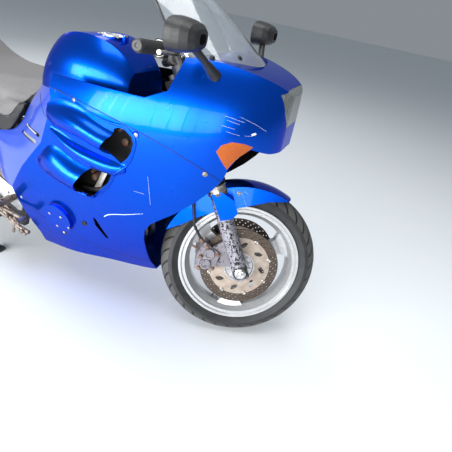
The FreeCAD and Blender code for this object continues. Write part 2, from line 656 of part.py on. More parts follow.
# Side covers behind the fairing, tucked under its rear edge
COVER_OUTLINE = [(-622, 826), (-640, 690), (-800, 470), (-872, 393), (-955, 410), (-1004, 452),
                 (-1005, 600), (-940, 640), (-830, 742), (-730, 826)]
COVER_SLOTS = [[(-752, 688), (-739, 697), (-684, 674), (-697, 656)],
               [(-775, 659), (-759, 667), (-709, 644), (-718, 627)]]
cover_shell = fairing_room.cut(fairing_hull(2 * PANEL_WALL + SEAT_GAP))
cover_right = cover_shell.common(side_prism(COVER_OUTLINE, -WIDE, -60))
for outline in COVER_SLOTS:
    cover_right = cover_right.cut(side_prism(outline, -WIDE, -60))
parts["side_cover_right"] = cover_right
parts["side_cover_left"] = mirrored(cover_right)


# Windscreen: a bent sheet, wide arcs in plan lofted from base to top
def screen_section(columns, wall):
    z, x_middle, x_end, half = columns
    outer = Part.Arc(V(x_end, -half, z), V(x_middle, 0, z), V(x_end, half, z))
    inner = Part.Arc(V(x_end - wall, half - wall, z), V(x_middle - wall, 0, z),
                     V(x_end - wall, wall - half, z))
    left = Part.LineSegment(V(x_end, half, z), V(x_end - wall, half - wall, z))
    right = Part.LineSegment(V(x_end - wall, wall - half, z), V(x_end, -half, z))
    return Part.Wire([outer.toShape(), left.toShape(), inner.toShape(), right.toShape()])


# columns: z, x in the middle, x at the edges, half width
SCREEN_STATIONS = [(985, -28, -232, 186), (1080, -150, -300, 182), (1160, -262, -372, 160),
                   (1212, -330, -408, 118)]
screen = Part.makeLoft([screen_section(station, PANEL_WALL) for station in SCREEN_STATIONS], True, False)
parts["windscreen"] = screen.cut(fairing_hull(-SEAT_GAP))

# Headlamp housing: a bowl behind the lens, on the fairing's stay
back_corners = [V(-60, y, z) for y, z in LAMP_OUTLINE + LAMP_OUTLINE[:1]]
lamp_back = Part.Face(Part.makePolygon(back_corners)).extrude(V(200, 0, 0))
housing = fairing_room.common(lamp_back)
bowl = fairing_hull(PANEL_WALL + SEAT_GAP + 12).common(slab(-40, NOSE_X, -78, 78, 880, 950))
parts["headlamp_housing"] = housing.cut(bowl)

# Frame: steering head, twin spars, pivot plates, cross tubes, rear rails, fairing stay
HEAD_TUBE = (fork_point(HEAD_LOW, 0, -AXLE_OFFSET), fork_point(HEAD_HIGH, 0, -AXLE_OFFSET))
head = ring(HEAD_TUBE[0], HEAD_TUBE[1], HEAD_TUBE_RADIUS, STEM_RADIUS + PIN_CLEARANCE)
# columns: x, z of the middle, inner y, height
SPAR_STATIONS = [(-322, 812, 16, 116), (-420, 765, 128, 112), (-700, 640, 150, 96), (-905, 500, 140, 110)]
SPAR_THICKNESS = 34.0
spar_sections = []
for x, z, inner_y, height in SPAR_STATIONS:
    corners = [V(x, inner_y, z - height / 2), V(x, inner_y + SPAR_THICKNESS, z - height / 2),
               V(x, inner_y + SPAR_THICKNESS, z + height / 2), V(x, inner_y, z + height / 2)]
    spar_sections.append(Part.makePolygon(corners + [corners[0]]))
spar = Part.makeLoft(spar_sections, True, True)
PIVOT_X, PIVOT_Z = SWINGARM_PIVOT
PLATE_FRONT_X = -884.0
PLATE_INNER = SWINGARM_INNER + SWINGARM_WALL + SEAT_GAP
# the plate carries the swingarm's pivot and, on its lower arm, the centre stand's
PLATE_OUTLINE = [(PLATE_FRONT_X, 560), (PLATE_FRONT_X, 250), (-900, 190), (-1122, 190), (-1126, 236),
                 (-1060, 248), (-1000, 280), (-1000, 470), (-940, 560)]
PLATE_THICKNESS = 22.0
plate = side_prism(PLATE_OUTLINE, PLATE_INNER, PLATE_INNER + PLATE_THICKNESS)
frame_left = [spar, plate]
TANK_BASE_Z = 742.0
SEAT_FRONT_BASE_Z = 700.0
# columns: x, z, half length, radius
CROSS_TUBES = [(-1090, 640, 116, 12), (-905, 520, 160, 16), (-540, TANK_BASE_Z - 10, 150, 10),
               (-800, 560, 160, 12), (-1040, SEAT_FRONT_BASE_Z - 12.3, 112, 12), (-1450, 766, 90, 11.7)]
cross_tubes = [rod(V(x, -half, z), V(x, half, z), radius) for x, z, half, radius in CROSS_TUBES]
cross_tubes.append(slab(-810, -790, -40, 40, 560, TANK_BASE_Z))
for side in (1, -1):
    cross_tubes.append(rod(V(-1040, side * 106, 610), V(-1040, side * 106, 690), 9))
    cross_tubes.append(rod(V(-1450, side * 86, 725), V(-1450, side * 86, 766), 9))
fairing_stay = [slab(-290, -140, -14, 14, 815, 845),
                rod(V(-150, -WIDE, 830), V(-150, WIDE, 830), 10).common(fairing_room)]
# columns: front x, z, rear x, z, half spacing, radius
RAIL_STATIONS = [((-880, 145, 545), (-1240, 96, 700), (-1725, 72, 767)), ((-985, 158, 455), (-1400, 92, 715))]
rails = []
for points in RAIL_STATIONS:
    for start, end in zip(points, points[1:]):
        rails.append(rod(V(*start), V(*end), 12))
        rails.append(Part.makeSphere(12, V(*end)))
rail_tops = joined(rails)

# Tail shell, open below the rails and under the seat
# columns: as the fairing's
TAIL_STATIONS = [
    (-1008, 560, 172, 650, 204, 735, 172),
    (-1240, 620, 162, 700, 190, 775, 150),
    (-1450, 672, 146, 745, 172, 818, 130),
    (-1700, 742, 106, 800, 135, 860, 95),
    (-1895, 800, 56, 835, 86, 868, 60),
]
SEAT_STATIONS = [
    (-835.4, 690, 70, 745, 95, 800, 60),
    (-900, 650, 122, 705, 160, 785, 90),
    (-1040, 688, 145, 735, 178, 782, 120),
    (-1190, 712, 136, 752, 170, 800, 125),
    (-1270, 732, 122, 785, 150, 852, 110),
    (-1450, 768, 118, 818, 148, 874, 105),
    (-1640, 792, 84, 832, 108, 868, 72),
]


def lofted_hull(stations, inset):
    return Part.makeLoft([hull_section(station, inset) for station in stations], True, False)


tail_outer = lofted_hull(TAIL_STATIONS, 0)
tail_room = lofted_hull(TAIL_STATIONS, PANEL_WALL + SEAT_GAP)
SEAT_BASE = [(-820, 652), (-925, 652), (-975, 700), (-1060, 700), (-1190, 722), (-1270, 742),
             (-1450, 778), (-1655, 802)]
TAIL_UNDERSIDE = [(-990, 573), (-1240, 634), (-1450, 686), (-1745, 775), (-1745, 400), (-990, 400)]
tail = tail_outer.cut(lofted_hull(TAIL_STATIONS, PANEL_WALL))
seat_bed = side_prism(lowered(SEAT_BASE, 3) + [(-1655, 1000), (-820, 1000)], -WIDE, WIDE)
tail = tail.cut(seat_bed).cut(side_prism(TAIL_UNDERSIDE, -WIDE, WIDE))
parts["tail_fairing"] = tail
tail_stay = rod(V(-1712, -WIDE, 782), V(-1712, WIDE, 782), 8).common(tail_room)

rear_cross = [rod(V(x, -half, z), V(x, half, z), 10) for x, half, z in [(-1240, 96, 700), (-1718, 74, 768)]]
head_gusset = slab(-352, -300, -58, 58, 765, 850)
frame = joined([head, spar, mirrored(spar), plate, mirrored(plate), head_gusset, tail_stay] + cross_tubes
               + [rail_tops, mirrored(rail_tops)] + rear_cross + fairing_stay)
frame = frame.cut(rod(HEAD_TUBE[0] - STEER_AXIS * 30, HEAD_TUBE[1] + STEER_AXIS * 30,
                      STEM_RADIUS + PIN_CLEARANCE))
SWINGARM_PIN_RADIUS = 12.0
STAND_TUBE_RADIUS = 14.0
pivot_bore = rod(V(PIVOT_X, -300, PIVOT_Z), V(PIVOT_X, 300, PIVOT_Z), SWINGARM_PIN_RADIUS + PIN_CLEARANCE)
STAND_X, STAND_Z = CENTRE_STAND_PIVOT
stand_bore = rod(V(STAND_X, -300, STAND_Z), V(STAND_X, 300, STAND_Z), STAND_TUBE_RADIUS + PIN_CLEARANCE)
side_pivot = V(*SIDE_STAND_PIVOT)
side_axis = V(0, math.cos(SIDE_STAND_TILT), math.sin(SIDE_STAND_TILT))
SIDE_PIN_RADIUS = 6.0
side_bracket = slab(-884, -900, PLATE_INNER + 22, side_pivot.y - 16.5, 218, 246)
side_pin = rod(side_pivot - side_axis * 24, side_pivot + side_axis * 13, SIDE_PIN_RADIUS)
parts["frame"] = frame.fuse([side_bracket, side_pin]).cut(pivot_bore).cut(stand_bore)

# Engine: one plain block, its cylinders leaning forward, and the wider crankcase
ENGINE_FRONT_X = -500.0
ENGINE_OUTLINE = [(ENGINE_FRONT_X, 235), (PLATE_FRONT_X, 235), (PLATE_FRONT_X, 450), (-780, 490),
                  (-720, 560), (-540, 600), (ENGINE_FRONT_X, 560)]
engine = side_prism(ENGINE_OUTLINE, -146, 146).fuse(slab(-560, -850, -186, 186, 290, 430))
gearbox_notch = slab(PLATE_FRONT_X, -795, 84, 200, 345, 475)
engine = engine.cut(gearbox_notch).cut(parts["frame"])
parts["engine"] = engine

# Radiator on two arms from the engine's front
radiator_core = side_prism([(-352, 640), (-384, 640), (-404, 340), (-372, 340)], -168, 168)
TANK_SIDE = [(-346, 646), (-390, 646), (-410, 334), (-366, 334)]
radiator_tanks = [side_prism(TANK_SIDE, y, y + 22) for y in (-190, 168)]
radiator_arms = [slab(-396, ENGINE_FRONT_X, y - 9, y + 9, 400, 420) for y in (-130, 130)]
parts["radiator"] = joined([radiator_core] + radiator_tanks + radiator_arms)

# Exhaust: four pipes down from the engine into a box, a link pipe and a silencer each side
header_pipes = [bent_tube([(ENGINE_FRONT_X, y, 300), (-446, y, 294), (-432, y, 212), (-770, y, 205)], 18, 26)
                for y in (-90, -30, 30, 90)]
collector = slab(-766, -884, -112, 112, 186, 228)
silencers, link_pipes = [], []
for side in (1, -1):
    link_pipes.append(bent_tube([(-880, side * 70, 207), (-912, side * 74, 216), (-950, side * 90, 272),
                                 (-1046, side * 150, 292), (-1080, side * 212, 330), (-1110, side * 212, 334)],
                                17, 12))
    axis_start, axis_end = V(-1092, side * 212, 331.6), V(-1745, side * 212, 408)
    run = (axis_end - axis_start).normalize()
    body = rod(axis_start + run * 70, axis_end - run * 40, 52)
    front_cone = Part.makeCone(20, 52, 70, axis_start, run)
    rear_cone = Part.makeCone(52, 34, 40, axis_end - run * 40, run)
    outlet = ring(axis_end - run * 2, axis_end + run * 26, 20, 17)
    can = joined([front_cone, body, rear_cone]).cut(rod(axis_end - run * 90, axis_end + run, 17))
    silencers.append(can.fuse(outlet))
silencer_bodies = Part.makeCompound(silencers)
parts["silencers"] = silencer_bodies
link_pair = [pipe.cut(silencer) for pipe, silencer in zip(link_pipes, silencers)]
parts["exhaust_pipes"] = joined(header_pipes + [collector] + link_pair).cut(parts["engine"])

# Fuel tank with its filler neck, and the hinged cap over it
TANK_STATIONS = [
    (-462, 800, 88, 850, 108, 905, 76),
    (-540, 732, 116, 850, 148, 975, 92),
    (-680, 728, 112, 850, 156, 990, 88),
    (-780, 728, 102, 830, 130, 950, 70),
    (-835, 728, 80, 785, 98, 845, 60),
]
tank = lofted_hull(TANK_STATIONS, 0).cut(slab(-400, -900, -WIDE, WIDE, 600, TANK_BASE_Z)).cut(parts["frame"])
CAP_X = -610.0
CAP_RADIUS = 42.0
CAP_BASE_Z = 980.0
CAP_PIN_RADIUS = 2.0
neck_hole = Part.makeCylinder(CAP_RADIUS - 12, 60, V(CAP_X, 0, CAP_BASE_Z - 40))
collar = Part.makeCylinder(CAP_RADIUS + 6, 16, V(CAP_X, 0, CAP_BASE_Z - 4)).cut(
    Part.makeCylinder(CAP_RADIUS + 1, 16, V(CAP_X, 0, CAP_BASE_Z + 4)))
cap_seat = Part.makeCylinder(CAP_RADIUS + 1, 30, V(CAP_X, 0, CAP_BASE_Z + 4))
parts["fuel_tank"] = tank.fuse(collar).cut(neck_hole).cut(cap_seat).removeSplitter()
cap_floor = CAP_BASE_Z + 4 + SEAT_GAP
CAP_HINGE = V(CAP_X + CAP_RADIUS + 12, 0, cap_floor + 13)
cap = Part.makeCylinder(CAP_RADIUS, 10, V(CAP_X, 0, cap_floor))
cap_arm = slab(CAP_X + CAP_RADIUS - 8, CAP_HINGE.x, -7, 7, cap_floor + 9.5, cap_floor + 13)
cap_eye = rod(CAP_HINGE - V(0, 7, 0), CAP_HINGE + V(0, 7, 0), 4)
cap_pin = rod(CAP_HINGE - V(0, 13, 0), CAP_HINGE + V(0, 13, 0), CAP_PIN_RADIUS)
pin_lugs = [slab(CAP_HINGE.x - 4, CAP_HINGE.x + 4, y, y + 4, CAP_BASE_Z - 12, CAP_HINGE.z + 3)
            for y in (-12, 8)]
cap_bore = rod(CAP_HINGE - V(0, 20, 0), CAP_HINGE + V(0, 20, 0), CAP_PIN_RADIUS + PIN_CLEARANCE)
parts["fuel_cap"] = joined([cap, cap_arm, cap_eye]).cut(cap_bore)
parts["fuel_tank"] = parts["fuel_tank"].fuse(pin_lugs + [cap_pin])

# Seat: a two-level cushion on its rails
# skirts that cover the frame's rails beside the seat's nose
SKIRT_OUTLINE = [(-838, 722), (-848, 690), (-878, 645), (-912, 608), (-950, 584), (-1000, 596), (-1004, 716)]
SKIRT_HALF_SPAN = (150.0, 176.0)
under_seat = side_prism(SEAT_BASE + [(-1655, 500), (-820, 500)], -WIDE, WIDE)
skirt = side_prism(SKIRT_OUTLINE, *SKIRT_HALF_SPAN)
parts["seat"] = joined([lofted_hull(SEAT_STATIONS, 0).cut(under_seat)] + both_sides(skirt))


# Swingarm: two box arms joined ahead of the tyre, its pin, and the rear axle
def arm(side):
    y0, y1 = side * SWINGARM_INNER, side * (SWINGARM_INNER + SWINGARM_WALL)
    half = SWINGARM_HEIGHT / 2
    outline = [(PIVOT_X + 34, PIVOT_Z + half), (PIVOT_X + 34, PIVOT_Z - half),
               (REAR_AXLE.x + 60, REAR_AXLE.z - half + 4), (REAR_AXLE.x - 58, REAR_AXLE.z - 24),
               (REAR_AXLE.x - 58, REAR_AXLE.z + 24), (REAR_AXLE.x + 60, REAR_AXLE.z + half - 4)]
    return side_prism(outline, y0, y1)


brace = slab(-1060, -1130, -SWINGARM_INNER - 5, SWINGARM_INNER + 5, 366, 410)
pivot_barrel = ring(V(PIVOT_X, -SWINGARM_INNER - 5, PIVOT_Z), V(PIVOT_X, SWINGARM_INNER + 5, PIVOT_Z), 26,
                    SWINGARM_PIN_RADIUS + PIN_CLEARANCE)
swingarm = joined([arm(1), arm(-1), brace, pivot_barrel])
axle_bore = rod(REAR_AXLE - V(0, 200, 0), REAR_AXLE + V(0, 200, 0), AXLE_RADIUS + PIN_CLEARANCE)
pin_bore = rod(V(PIVOT_X, -200, PIVOT_Z), V(PIVOT_X, 200, PIVOT_Z), SWINGARM_PIN_RADIUS + PIN_CLEARANCE)
parts["swingarm"] = swingarm.cut(axle_bore).cut(pin_bore)
parts["swingarm_pin"] = rod(V(PIVOT_X, -PLATE_INNER - 26, PIVOT_Z), V(PIVOT_X, PLATE_INNER + 26, PIVOT_Z),
                            SWINGARM_PIN_RADIUS)
AXLE_END = SWINGARM_INNER + SWINGARM_WALL + 12
parts["rear_axle"] = rod(REAR_AXLE - V(0, AXLE_END, 0), REAR_AXLE + V(0, AXLE_END, 0), AXLE_RADIUS)

# Rear damper and its spring, from the swingarm's brace up to the frame
damper_low = V(-1090, 0, 410 + SEAT_GAP)
spring_rings = [rod(V(-1090, 0, 414 + 22 * i), V(-1090, 0, 424 + 22 * i), 32) for i in range(8)]
damper = rod(damper_low, V(-1090, 0, 600), 20)
top_eye = rod(V(-1090, 0, 590), V(-1090, 0, 628 - SEAT_GAP), 12)
parts["rear_damper"] = joined([damper, top_eye] + spring_rings)

# Final drive: front sprocket, and the chain as one loop of links
FRONT_SPROCKET = (-846.0, 410.0)
front_sprocket = rod(V(FRONT_SPROCKET[0], 84, FRONT_SPROCKET[1]),
                     V(FRONT_SPROCKET[0], CHAIN_LINE + 4, FRONT_SPROCKET[1]), FRONT_SPROCKET_RADIUS)
parts["engine"] = parts["engine"].fuse(front_sprocket)


def belt_loop(front, front_radius, rear, rear_radius, y0, y1):
    """A loop round two circles in side view, from y0 to y1, filled."""
    apart = math.hypot(front[0] - rear[0], front[1] - rear[1])
    lean = math.asin((rear_radius - front_radius) / apart)
    along = math.atan2(front[1] - rear[1], front[0] - rear[0])

    def touch(centre, radius, sign):
        angle = along + sign * (math.pi / 2 - lean)
        return V(centre[0] + radius * math.cos(angle), y0, centre[1] + radius * math.sin(angle))

    def far(centre, radius, angle):
        return V(centre[0] + radius * math.cos(angle), y0, centre[1] + radius * math.sin(angle))

    front_top, rear_top = touch(front, front_radius, 1), touch(rear, rear_radius, 1)
    front_low, rear_low = touch(front, front_radius, -1), touch(rear, rear_radius, -1)
    wire = Part.Wire([
        Part.Arc(front_low, far(front, front_radius, along), front_top).toShape(),
        Part.LineSegment(front_top, rear_top).toShape(),
        Part.Arc(rear_top, far(rear, rear_radius, along + math.pi), rear_low).toShape(),
        Part.LineSegment(rear_low, front_low).toShape()])
    return Part.Face(wire).extrude(V(0, y1 - y0, 0))


CHAIN_HEIGHT = 12.0
REAR_CENTRE = (REAR_AXLE.x, REAR_AXLE.z)
chain_ends = (CHAIN_LINE - CHAIN_WIDTH / 2, CHAIN_LINE + CHAIN_WIDTH / 2)
chain_outer = belt_loop(FRONT_SPROCKET, FRONT_SPROCKET_RADIUS + PIN_CLEARANCE + CHAIN_HEIGHT, REAR_CENTRE,
                        REAR_SPROCKET_RADIUS + PIN_CLEARANCE + CHAIN_HEIGHT, *chain_ends)
chain_inner = belt_loop(FRONT_SPROCKET, FRONT_SPROCKET_RADIUS + PIN_CLEARANCE, REAR_CENTRE,
                        REAR_SPROCKET_RADIUS + PIN_CLEARANCE, *chain_ends)
parts["drive_chain"] = chain_outer.cut(chain_inner)

# Rear brake caliper on the right arm, slotted over the disc
rear_slot_half = DISC_THICKNESS / 2 + SPIN_CLEARANCE
disc_y = -REAR_HUB_HALF - DISC_THICKNESS / 2
caliper_block = slab(REAR_AXLE.x + 80, REAR_AXLE.x + 150, SEAT_GAP - SWINGARM_INNER, disc_y + 18,
                     REAR_AXLE.z - 62, REAR_AXLE.z + 2)
caliper_slot = ring(V(REAR_AXLE.x, disc_y - rear_slot_half, REAR_AXLE.z),
                    V(REAR_AXLE.x, disc_y + rear_slot_half, REAR_AXLE.z), REAR_DISC_RADIUS + SPIN_CLEARANCE, 1)
rear_caliper = caliper_block.cut(caliper_slot).cut(
    ring(V(REAR_AXLE.x, -REAR_TYRE_WIDTH, REAR_AXLE.z), V(REAR_AXLE.x, -1, REAR_AXLE.z), 400, 195))
parts["rear_caliper"] = rear_caliper

# Foot controls: a hanger plate each side with the rider's and passenger's pegs
HANGER = [(-876, 344), (-884, 318), (-930, 300), (-1000, 330), (-1056, 400), (-1120, 520), (-1128, 572),
          (-1100, 580), (-1050, 470), (-960, 420), (-892, 392)]
hanger_y = PLATE_INNER + 22 + SEAT_GAP
hangers = []
for side in (1, -1):
    plate_solid = side_prism(HANGER, side * hanger_y, side * (hanger_y + 11))
    rider_peg = rod(V(-918, side * (hanger_y + 10), 330), V(-918, side * 318, 334), 13)
    rear_peg = rod(V(-1110, side * (hanger_y + 10), 556), V(-1110, side * 296, 556), 12)
    pedal = bent_tube([(-934, side * (hanger_y + 8), 314), (-938, side * 246, 304),
                       (-812, side * 252, 292)], 7, 14)
    pad = rod(V(-816, side * 244, 292), V(-816, side * 284, 292), 12)
    hangers.append(joined([plate_solid, rider_peg, rear_peg, pedal, pad]))
pin_room = rod(V(PIVOT_X, -300, PIVOT_Z), V(PIVOT_X, 300, PIVOT_Z), SWINGARM_PIN_RADIUS + 10)
parts["footpeg_hanger_left"] = hangers[0].cut(pin_room)
parts["footpeg_hanger_right"] = hangers[1].cut(pin_room)

# Centre stand: two legs on a cross tube, each with a flat foot
leg_top = V(STAND_X, CENTRE_STAND_HALF_WIDTH, STAND_Z)
foot_top = V(STAND_X + CENTRE_STAND_REACH, CENTRE_STAND_HALF_WIDTH, FLOOR_Z + 12)
LEG_RADIUS = 11.0
stand_leg = rod(leg_top, foot_top, LEG_RADIUS)
foot = slab(foot_top.x - 25, foot_top.x + 25, leg_top.y - 26, leg_top.y + 10, FLOOR_Z, FLOOR_Z + 14)
CROSS_BAR_AT = 0.3
bar_end = leg_top + (foot_top - leg_top) * CROSS_BAR_AT
stand_cross = rod(V(bar_end.x, -bar_end.y, bar_end.z), bar_end, 9)
stand_tube = rod(V(STAND_X, -leg_top.y - 9, STAND_Z), V(STAND_X, leg_top.y + 9, STAND_Z), STAND_TUBE_RADIUS)
parts["centre_stand"] = joined(both_sides(stand_leg) + both_sides(foot) + [stand_cross, stand_tube])

# Side stand, folded back along the left side
side_end = side_pivot + V(-SIDE_STAND_LENGTH, 0, 0)
side_leg = rod(side_pivot, side_end, 9)
side_boss = rod(side_pivot - side_axis * 12, side_pivot + side_axis * 12, 15)
side_foot = rod(side_end, side_end + V(-9, 0, 0), 17)
side_pin_bore = rod(side_pivot - side_axis * 30, side_pivot + side_axis * 30, SIDE_PIN_RADIUS + PIN_CLEARANCE)
parts["side_stand"] = joined([side_leg, side_boss, side_foot]).cut(side_pin_bore)

# Rear lamp, indicators, mudguard with its plate bracket, grab rail
lamp_sections = [hull_section((-1895 - SEAT_GAP, 802, 54, 835, 84, 866, 58), 0),
                 hull_section((-1935, 816, 34, 838, 60, 858, 38), 0)]
parts["tail_lamp"] = Part.makeLoft(lamp_sections, True, True)
GUARD_INNER = REAR_TYRE_RADIUS + 24
guard_outline = [(GUARD_INNER - 40, 98), (GUARD_INNER, 98), (GUARD_INNER, -98), (GUARD_INNER - 40, -98),
                 (GUARD_INNER - 40, -102), (GUARD_INNER + 4, -102), (GUARD_INNER + 4, 102),
                 (GUARD_INNER - 40, 102)]
guard = turned_profile(polygon_profile(guard_outline), REAR_AXLE)
guard_wedge = [(REAR_AXLE.x, REAR_AXLE.z)]
for degrees in (68, 95, 122, 150):
    angle = math.radians(degrees)
    guard_wedge.append((REAR_AXLE.x + 700 * math.cos(angle), REAR_AXLE.z + 700 * math.sin(angle)))
guard = guard.common(side_prism(guard_wedge, -200, 200))
guard_lug = slab(-1512, -1492, -90, 90, REAR_AXLE.z + GUARD_INNER, 738).cut(rails[0])
PLATE_TOP = V(-1812, 0, 560)
PLATE_FOOT = V(-1862, 0, 420)
PLATE_WALL = 6.0
plate_down = (PLATE_FOOT - PLATE_TOP).normalize()
plate_back = V(plate_down.z, 0, -plate_down.x)
plate_front = [PLATE_TOP - plate_back * PLATE_WALL, PLATE_FOOT - plate_back * PLATE_WALL]
plate_holder = side_prism([(spot.x, spot.z) for spot in [PLATE_TOP, PLATE_FOOT] + plate_front[::-1]], -90, 90)
PLATE_HOLE_SPACING = 140.0
PLATE_HOLE_RADIUS = 3.2
for side in (1, -1):
    spot = PLATE_TOP + plate_down * 40 + V(0, side * PLATE_HOLE_SPACING / 2, 0)
    plate_holder = plate_holder.cut(rod(spot + plate_back * 20, spot - plate_back * 20, PLATE_HOLE_RADIUS))
plate_arm = side_prism([(-1786, 548), (-1812, 556), (-1822, 530), (-1792, 520)], -50, 50)
mudguard = joined([guard, guard_lug, plate_holder, plate_arm]).cut(rail_tops).cut(mirrored(rail_tops))
parts["rear_mudguard"] = mudguard
tail_near = lofted_hull(TAIL_STATIONS, -SEAT_GAP)
rear_signals = []
for side in (1, -1):
    stalk = rod(V(-1690, side * 60, 792), V(-1706, side * 190, 784), 8)
    lens_body = Part.makeSphere(30, V(-1712, side * 212, 783))
    rear_signals.append(stalk.fuse(lens_body).cut(tail_near))
parts["rear_indicators"] = Part.makeCompound(rear_signals)
rail_path = [(-1560, 120, 800), (-1590, 134, 886), (-1750, 100, 905), (-1800, 42, 905)]
whole_path = rail_path + [(x, -y, z) for x, y, z in rail_path[::-1]]
grab = bent_tube(whole_path, 11, 26).cut(tail_near).cut(lofted_hull(SEAT_STATIONS, -SEAT_GAP))
parts["grab_rail"] = grab

# Mirrors on the fairing's shoulders, and the instrument panel on the stay
mirrors = []
for side in (1, -1):
    stem_root = V(-130, side * 196, 985)
    stem_end = V(-176, side * 300, 1070)
    stalk = rod(stem_root, stem_end, 10).cut(fairing_hull(-SEAT_GAP))
    shell_sections = []
    for x, half_wide, half_high in ((-128, 26, 16), (-160, 62, 36), (-196, 66, 40)):
        near, far = side * 305 - half_wide, side * 305 + half_wide
        low, high = 1078 - half_high, 1078 + half_high
        corners = [V(x, near, low), V(x, far, low), V(x, far, high), V(x, near, high)]
        shell_sections.append(Part.makePolygon(corners + [corners[0]]))
    head_shell = Part.makeLoft(shell_sections, True, True)
    mirrors.append(stalk.fuse(head_shell))
parts["mirrors"] = Part.makeCompound(mirrors)
panel = side_prism([(-150, 905), (-228, 925), (-214, 1000), (-140, 1000)], -130, 130).common(fairing_room)
panel_post = slab(-170, -155, -12, 12, 845 + SEAT_GAP, 912)
stay_room = rod(V(-150, -WIDE, 830), V(-150, WIDE, 830), 10 + SEAT_GAP)
parts["instrument_panel"] = joined([panel, panel_post]).cut(stay_room)

# The whole stands with the steering on its left stop, on the middle of its box
for name in STEERED:
    parts[name].rotate(AXIS_FOOT, STEER_AXIS, STEER_AT_REST)
whole = Part.makeCompound(list(parts.values()))
box = whole.optimalBoundingBox(True, False)
SHIFT = V(-(box.XMin + box.XMax) / 2, -(box.YMin + box.YMax) / 2, -FLOOR_Z)
os.makedirs("parts", exist_ok=True)
for name, shape in parts.items():
    shape.translate(SHIFT)
    shape.exportStep(os.path.join("parts", name + ".step"))
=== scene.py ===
import json
import math

import bpy
from mathutils import Matrix, Vector


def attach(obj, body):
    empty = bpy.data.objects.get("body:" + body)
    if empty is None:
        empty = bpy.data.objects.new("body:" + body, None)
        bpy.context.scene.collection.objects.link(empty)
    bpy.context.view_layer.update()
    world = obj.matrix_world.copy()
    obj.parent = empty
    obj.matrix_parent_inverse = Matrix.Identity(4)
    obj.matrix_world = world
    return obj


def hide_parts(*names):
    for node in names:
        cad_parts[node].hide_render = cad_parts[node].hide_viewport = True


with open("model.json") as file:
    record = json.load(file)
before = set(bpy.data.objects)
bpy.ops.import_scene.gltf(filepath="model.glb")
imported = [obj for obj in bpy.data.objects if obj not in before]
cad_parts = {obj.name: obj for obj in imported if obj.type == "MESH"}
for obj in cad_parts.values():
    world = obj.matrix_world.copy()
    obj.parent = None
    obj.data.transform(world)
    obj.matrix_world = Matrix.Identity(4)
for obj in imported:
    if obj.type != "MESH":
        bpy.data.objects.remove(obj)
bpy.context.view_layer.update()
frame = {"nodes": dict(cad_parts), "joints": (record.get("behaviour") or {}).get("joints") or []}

node = frame["nodes"]
joint = {each["name"]: each for each in frame["joints"]}


# View: the photograph is taken from high on the right, ahead of the front wheel,
# with the camera rolled a little, so only the front half is in the picture.
VIEW_PLACE = Vector((1.147755, -1.256, 1.177076))
VIEW_YAW, VIEW_DOWN, VIEW_ROLL = math.radians(-17.3), math.radians(29.6), math.radians(11.5)
SENSOR_WIDTH, FOCAL_PIXELS, PICTURE_PIXELS = 36, 400, 452
looking = Vector((math.sin(VIEW_YAW) * math.cos(VIEW_DOWN),
                  math.cos(VIEW_YAW) * math.cos(VIEW_DOWN), -math.sin(VIEW_DOWN)))
level = Vector((math.cos(VIEW_YAW), -math.sin(VIEW_YAW), 0))
upward = level.cross(looking)
camera_right = math.cos(VIEW_ROLL) * level + math.sin(VIEW_ROLL) * upward
camera_up = math.cos(VIEW_ROLL) * upward - math.sin(VIEW_ROLL) * level
bpy.ops.object.camera_add(location=VIEW_PLACE)
camera = bpy.context.object
camera.data.lens = SENSOR_WIDTH * FOCAL_PIXELS / PICTURE_PIXELS
camera.rotation_mode = "QUATERNION"
camera.rotation_quaternion = Matrix((camera_right, camera_up, -looking)).transposed().to_quaternion()
bpy.context.scene.camera = camera
bpy.context.scene.view_settings.view_transform = "Standard"


# Studio: a pale floor that runs out of sight, pale to the eye and in reflections
# but darker as a reflector of light, a weak world, a wide soft box overhead and
# a row of tall windows high on the right, which show in the gloss of the paint.
def new_material(name):
    made = bpy.data.materials.new(name)
    made.use_nodes = True
    return made


def shader_of(made):
    return made.node_tree.nodes["Principled BSDF"]


def feed(made, target, inputs):
    """Sets a node's inputs, each to a value or to another node's output."""
    for name, value in inputs.items():
        if isinstance(value, bpy.types.NodeSocket):
            made.node_tree.links.new(value, target.inputs[name])
        else:
            target.inputs[name].default_value = value


def step(made, kind, inputs, **settings):
    """A new node in a material, with its settings and inputs."""
    added = made.node_tree.nodes.new("ShaderNode" + kind)
    for name, value in settings.items():
        setattr(added, name, value)
    feed(made, added, inputs)
    return added


def reckon(made, operation, *terms):
    """One step of arithmetic in a material, on outputs or numbers."""
    return step(made, "Math", dict(enumerate(terms)), operation=operation).outputs[0]


FLOOR_AS_REFLECTOR, FLOOR_AS_SEEN = (0.2, 0.22, 0.25, 1), (0.8, 0.835, 0.86, 1)
bpy.ops.mesh.primitive_plane_add(size=60, location=(0, 0, 0))
floor = bpy.context.object
floor.name = "studio_floor"
floor_paint = new_material("studio_floor_paint")
rays = step(floor_paint, "LightPath", {}).outputs
seen_or_mirrored = reckon(floor_paint, "MAXIMUM", rays["Is Camera Ray"], rays["Is Glossy Ray"])
or_through = reckon(floor_paint, "MAXIMUM", seen_or_mirrored, rays["Is Transmission Ray"])
floor_tone = step(floor_paint, "Mix", {"A": FLOOR_AS_REFLECTOR, "B": FLOOR_AS_SEEN, "Factor": or_through},
                  data_type="RGBA").outputs["Result"]
feed(floor_paint, shader_of(floor_paint), {"Base Color": floor_tone, "Roughness": 0.8, "Specular IOR Level": 0.2})
floor.data.materials.append(floor_paint)

world = bpy.data.worlds.new("studio_world")
world.use_nodes = True
bpy.context.scene.world = world
sky = world.node_tree.nodes["Background"]
sky.inputs["Color"].default_value = (0.8, 0.88, 0.97, 1)
sky.inputs["Strength"].default_value = 0.3

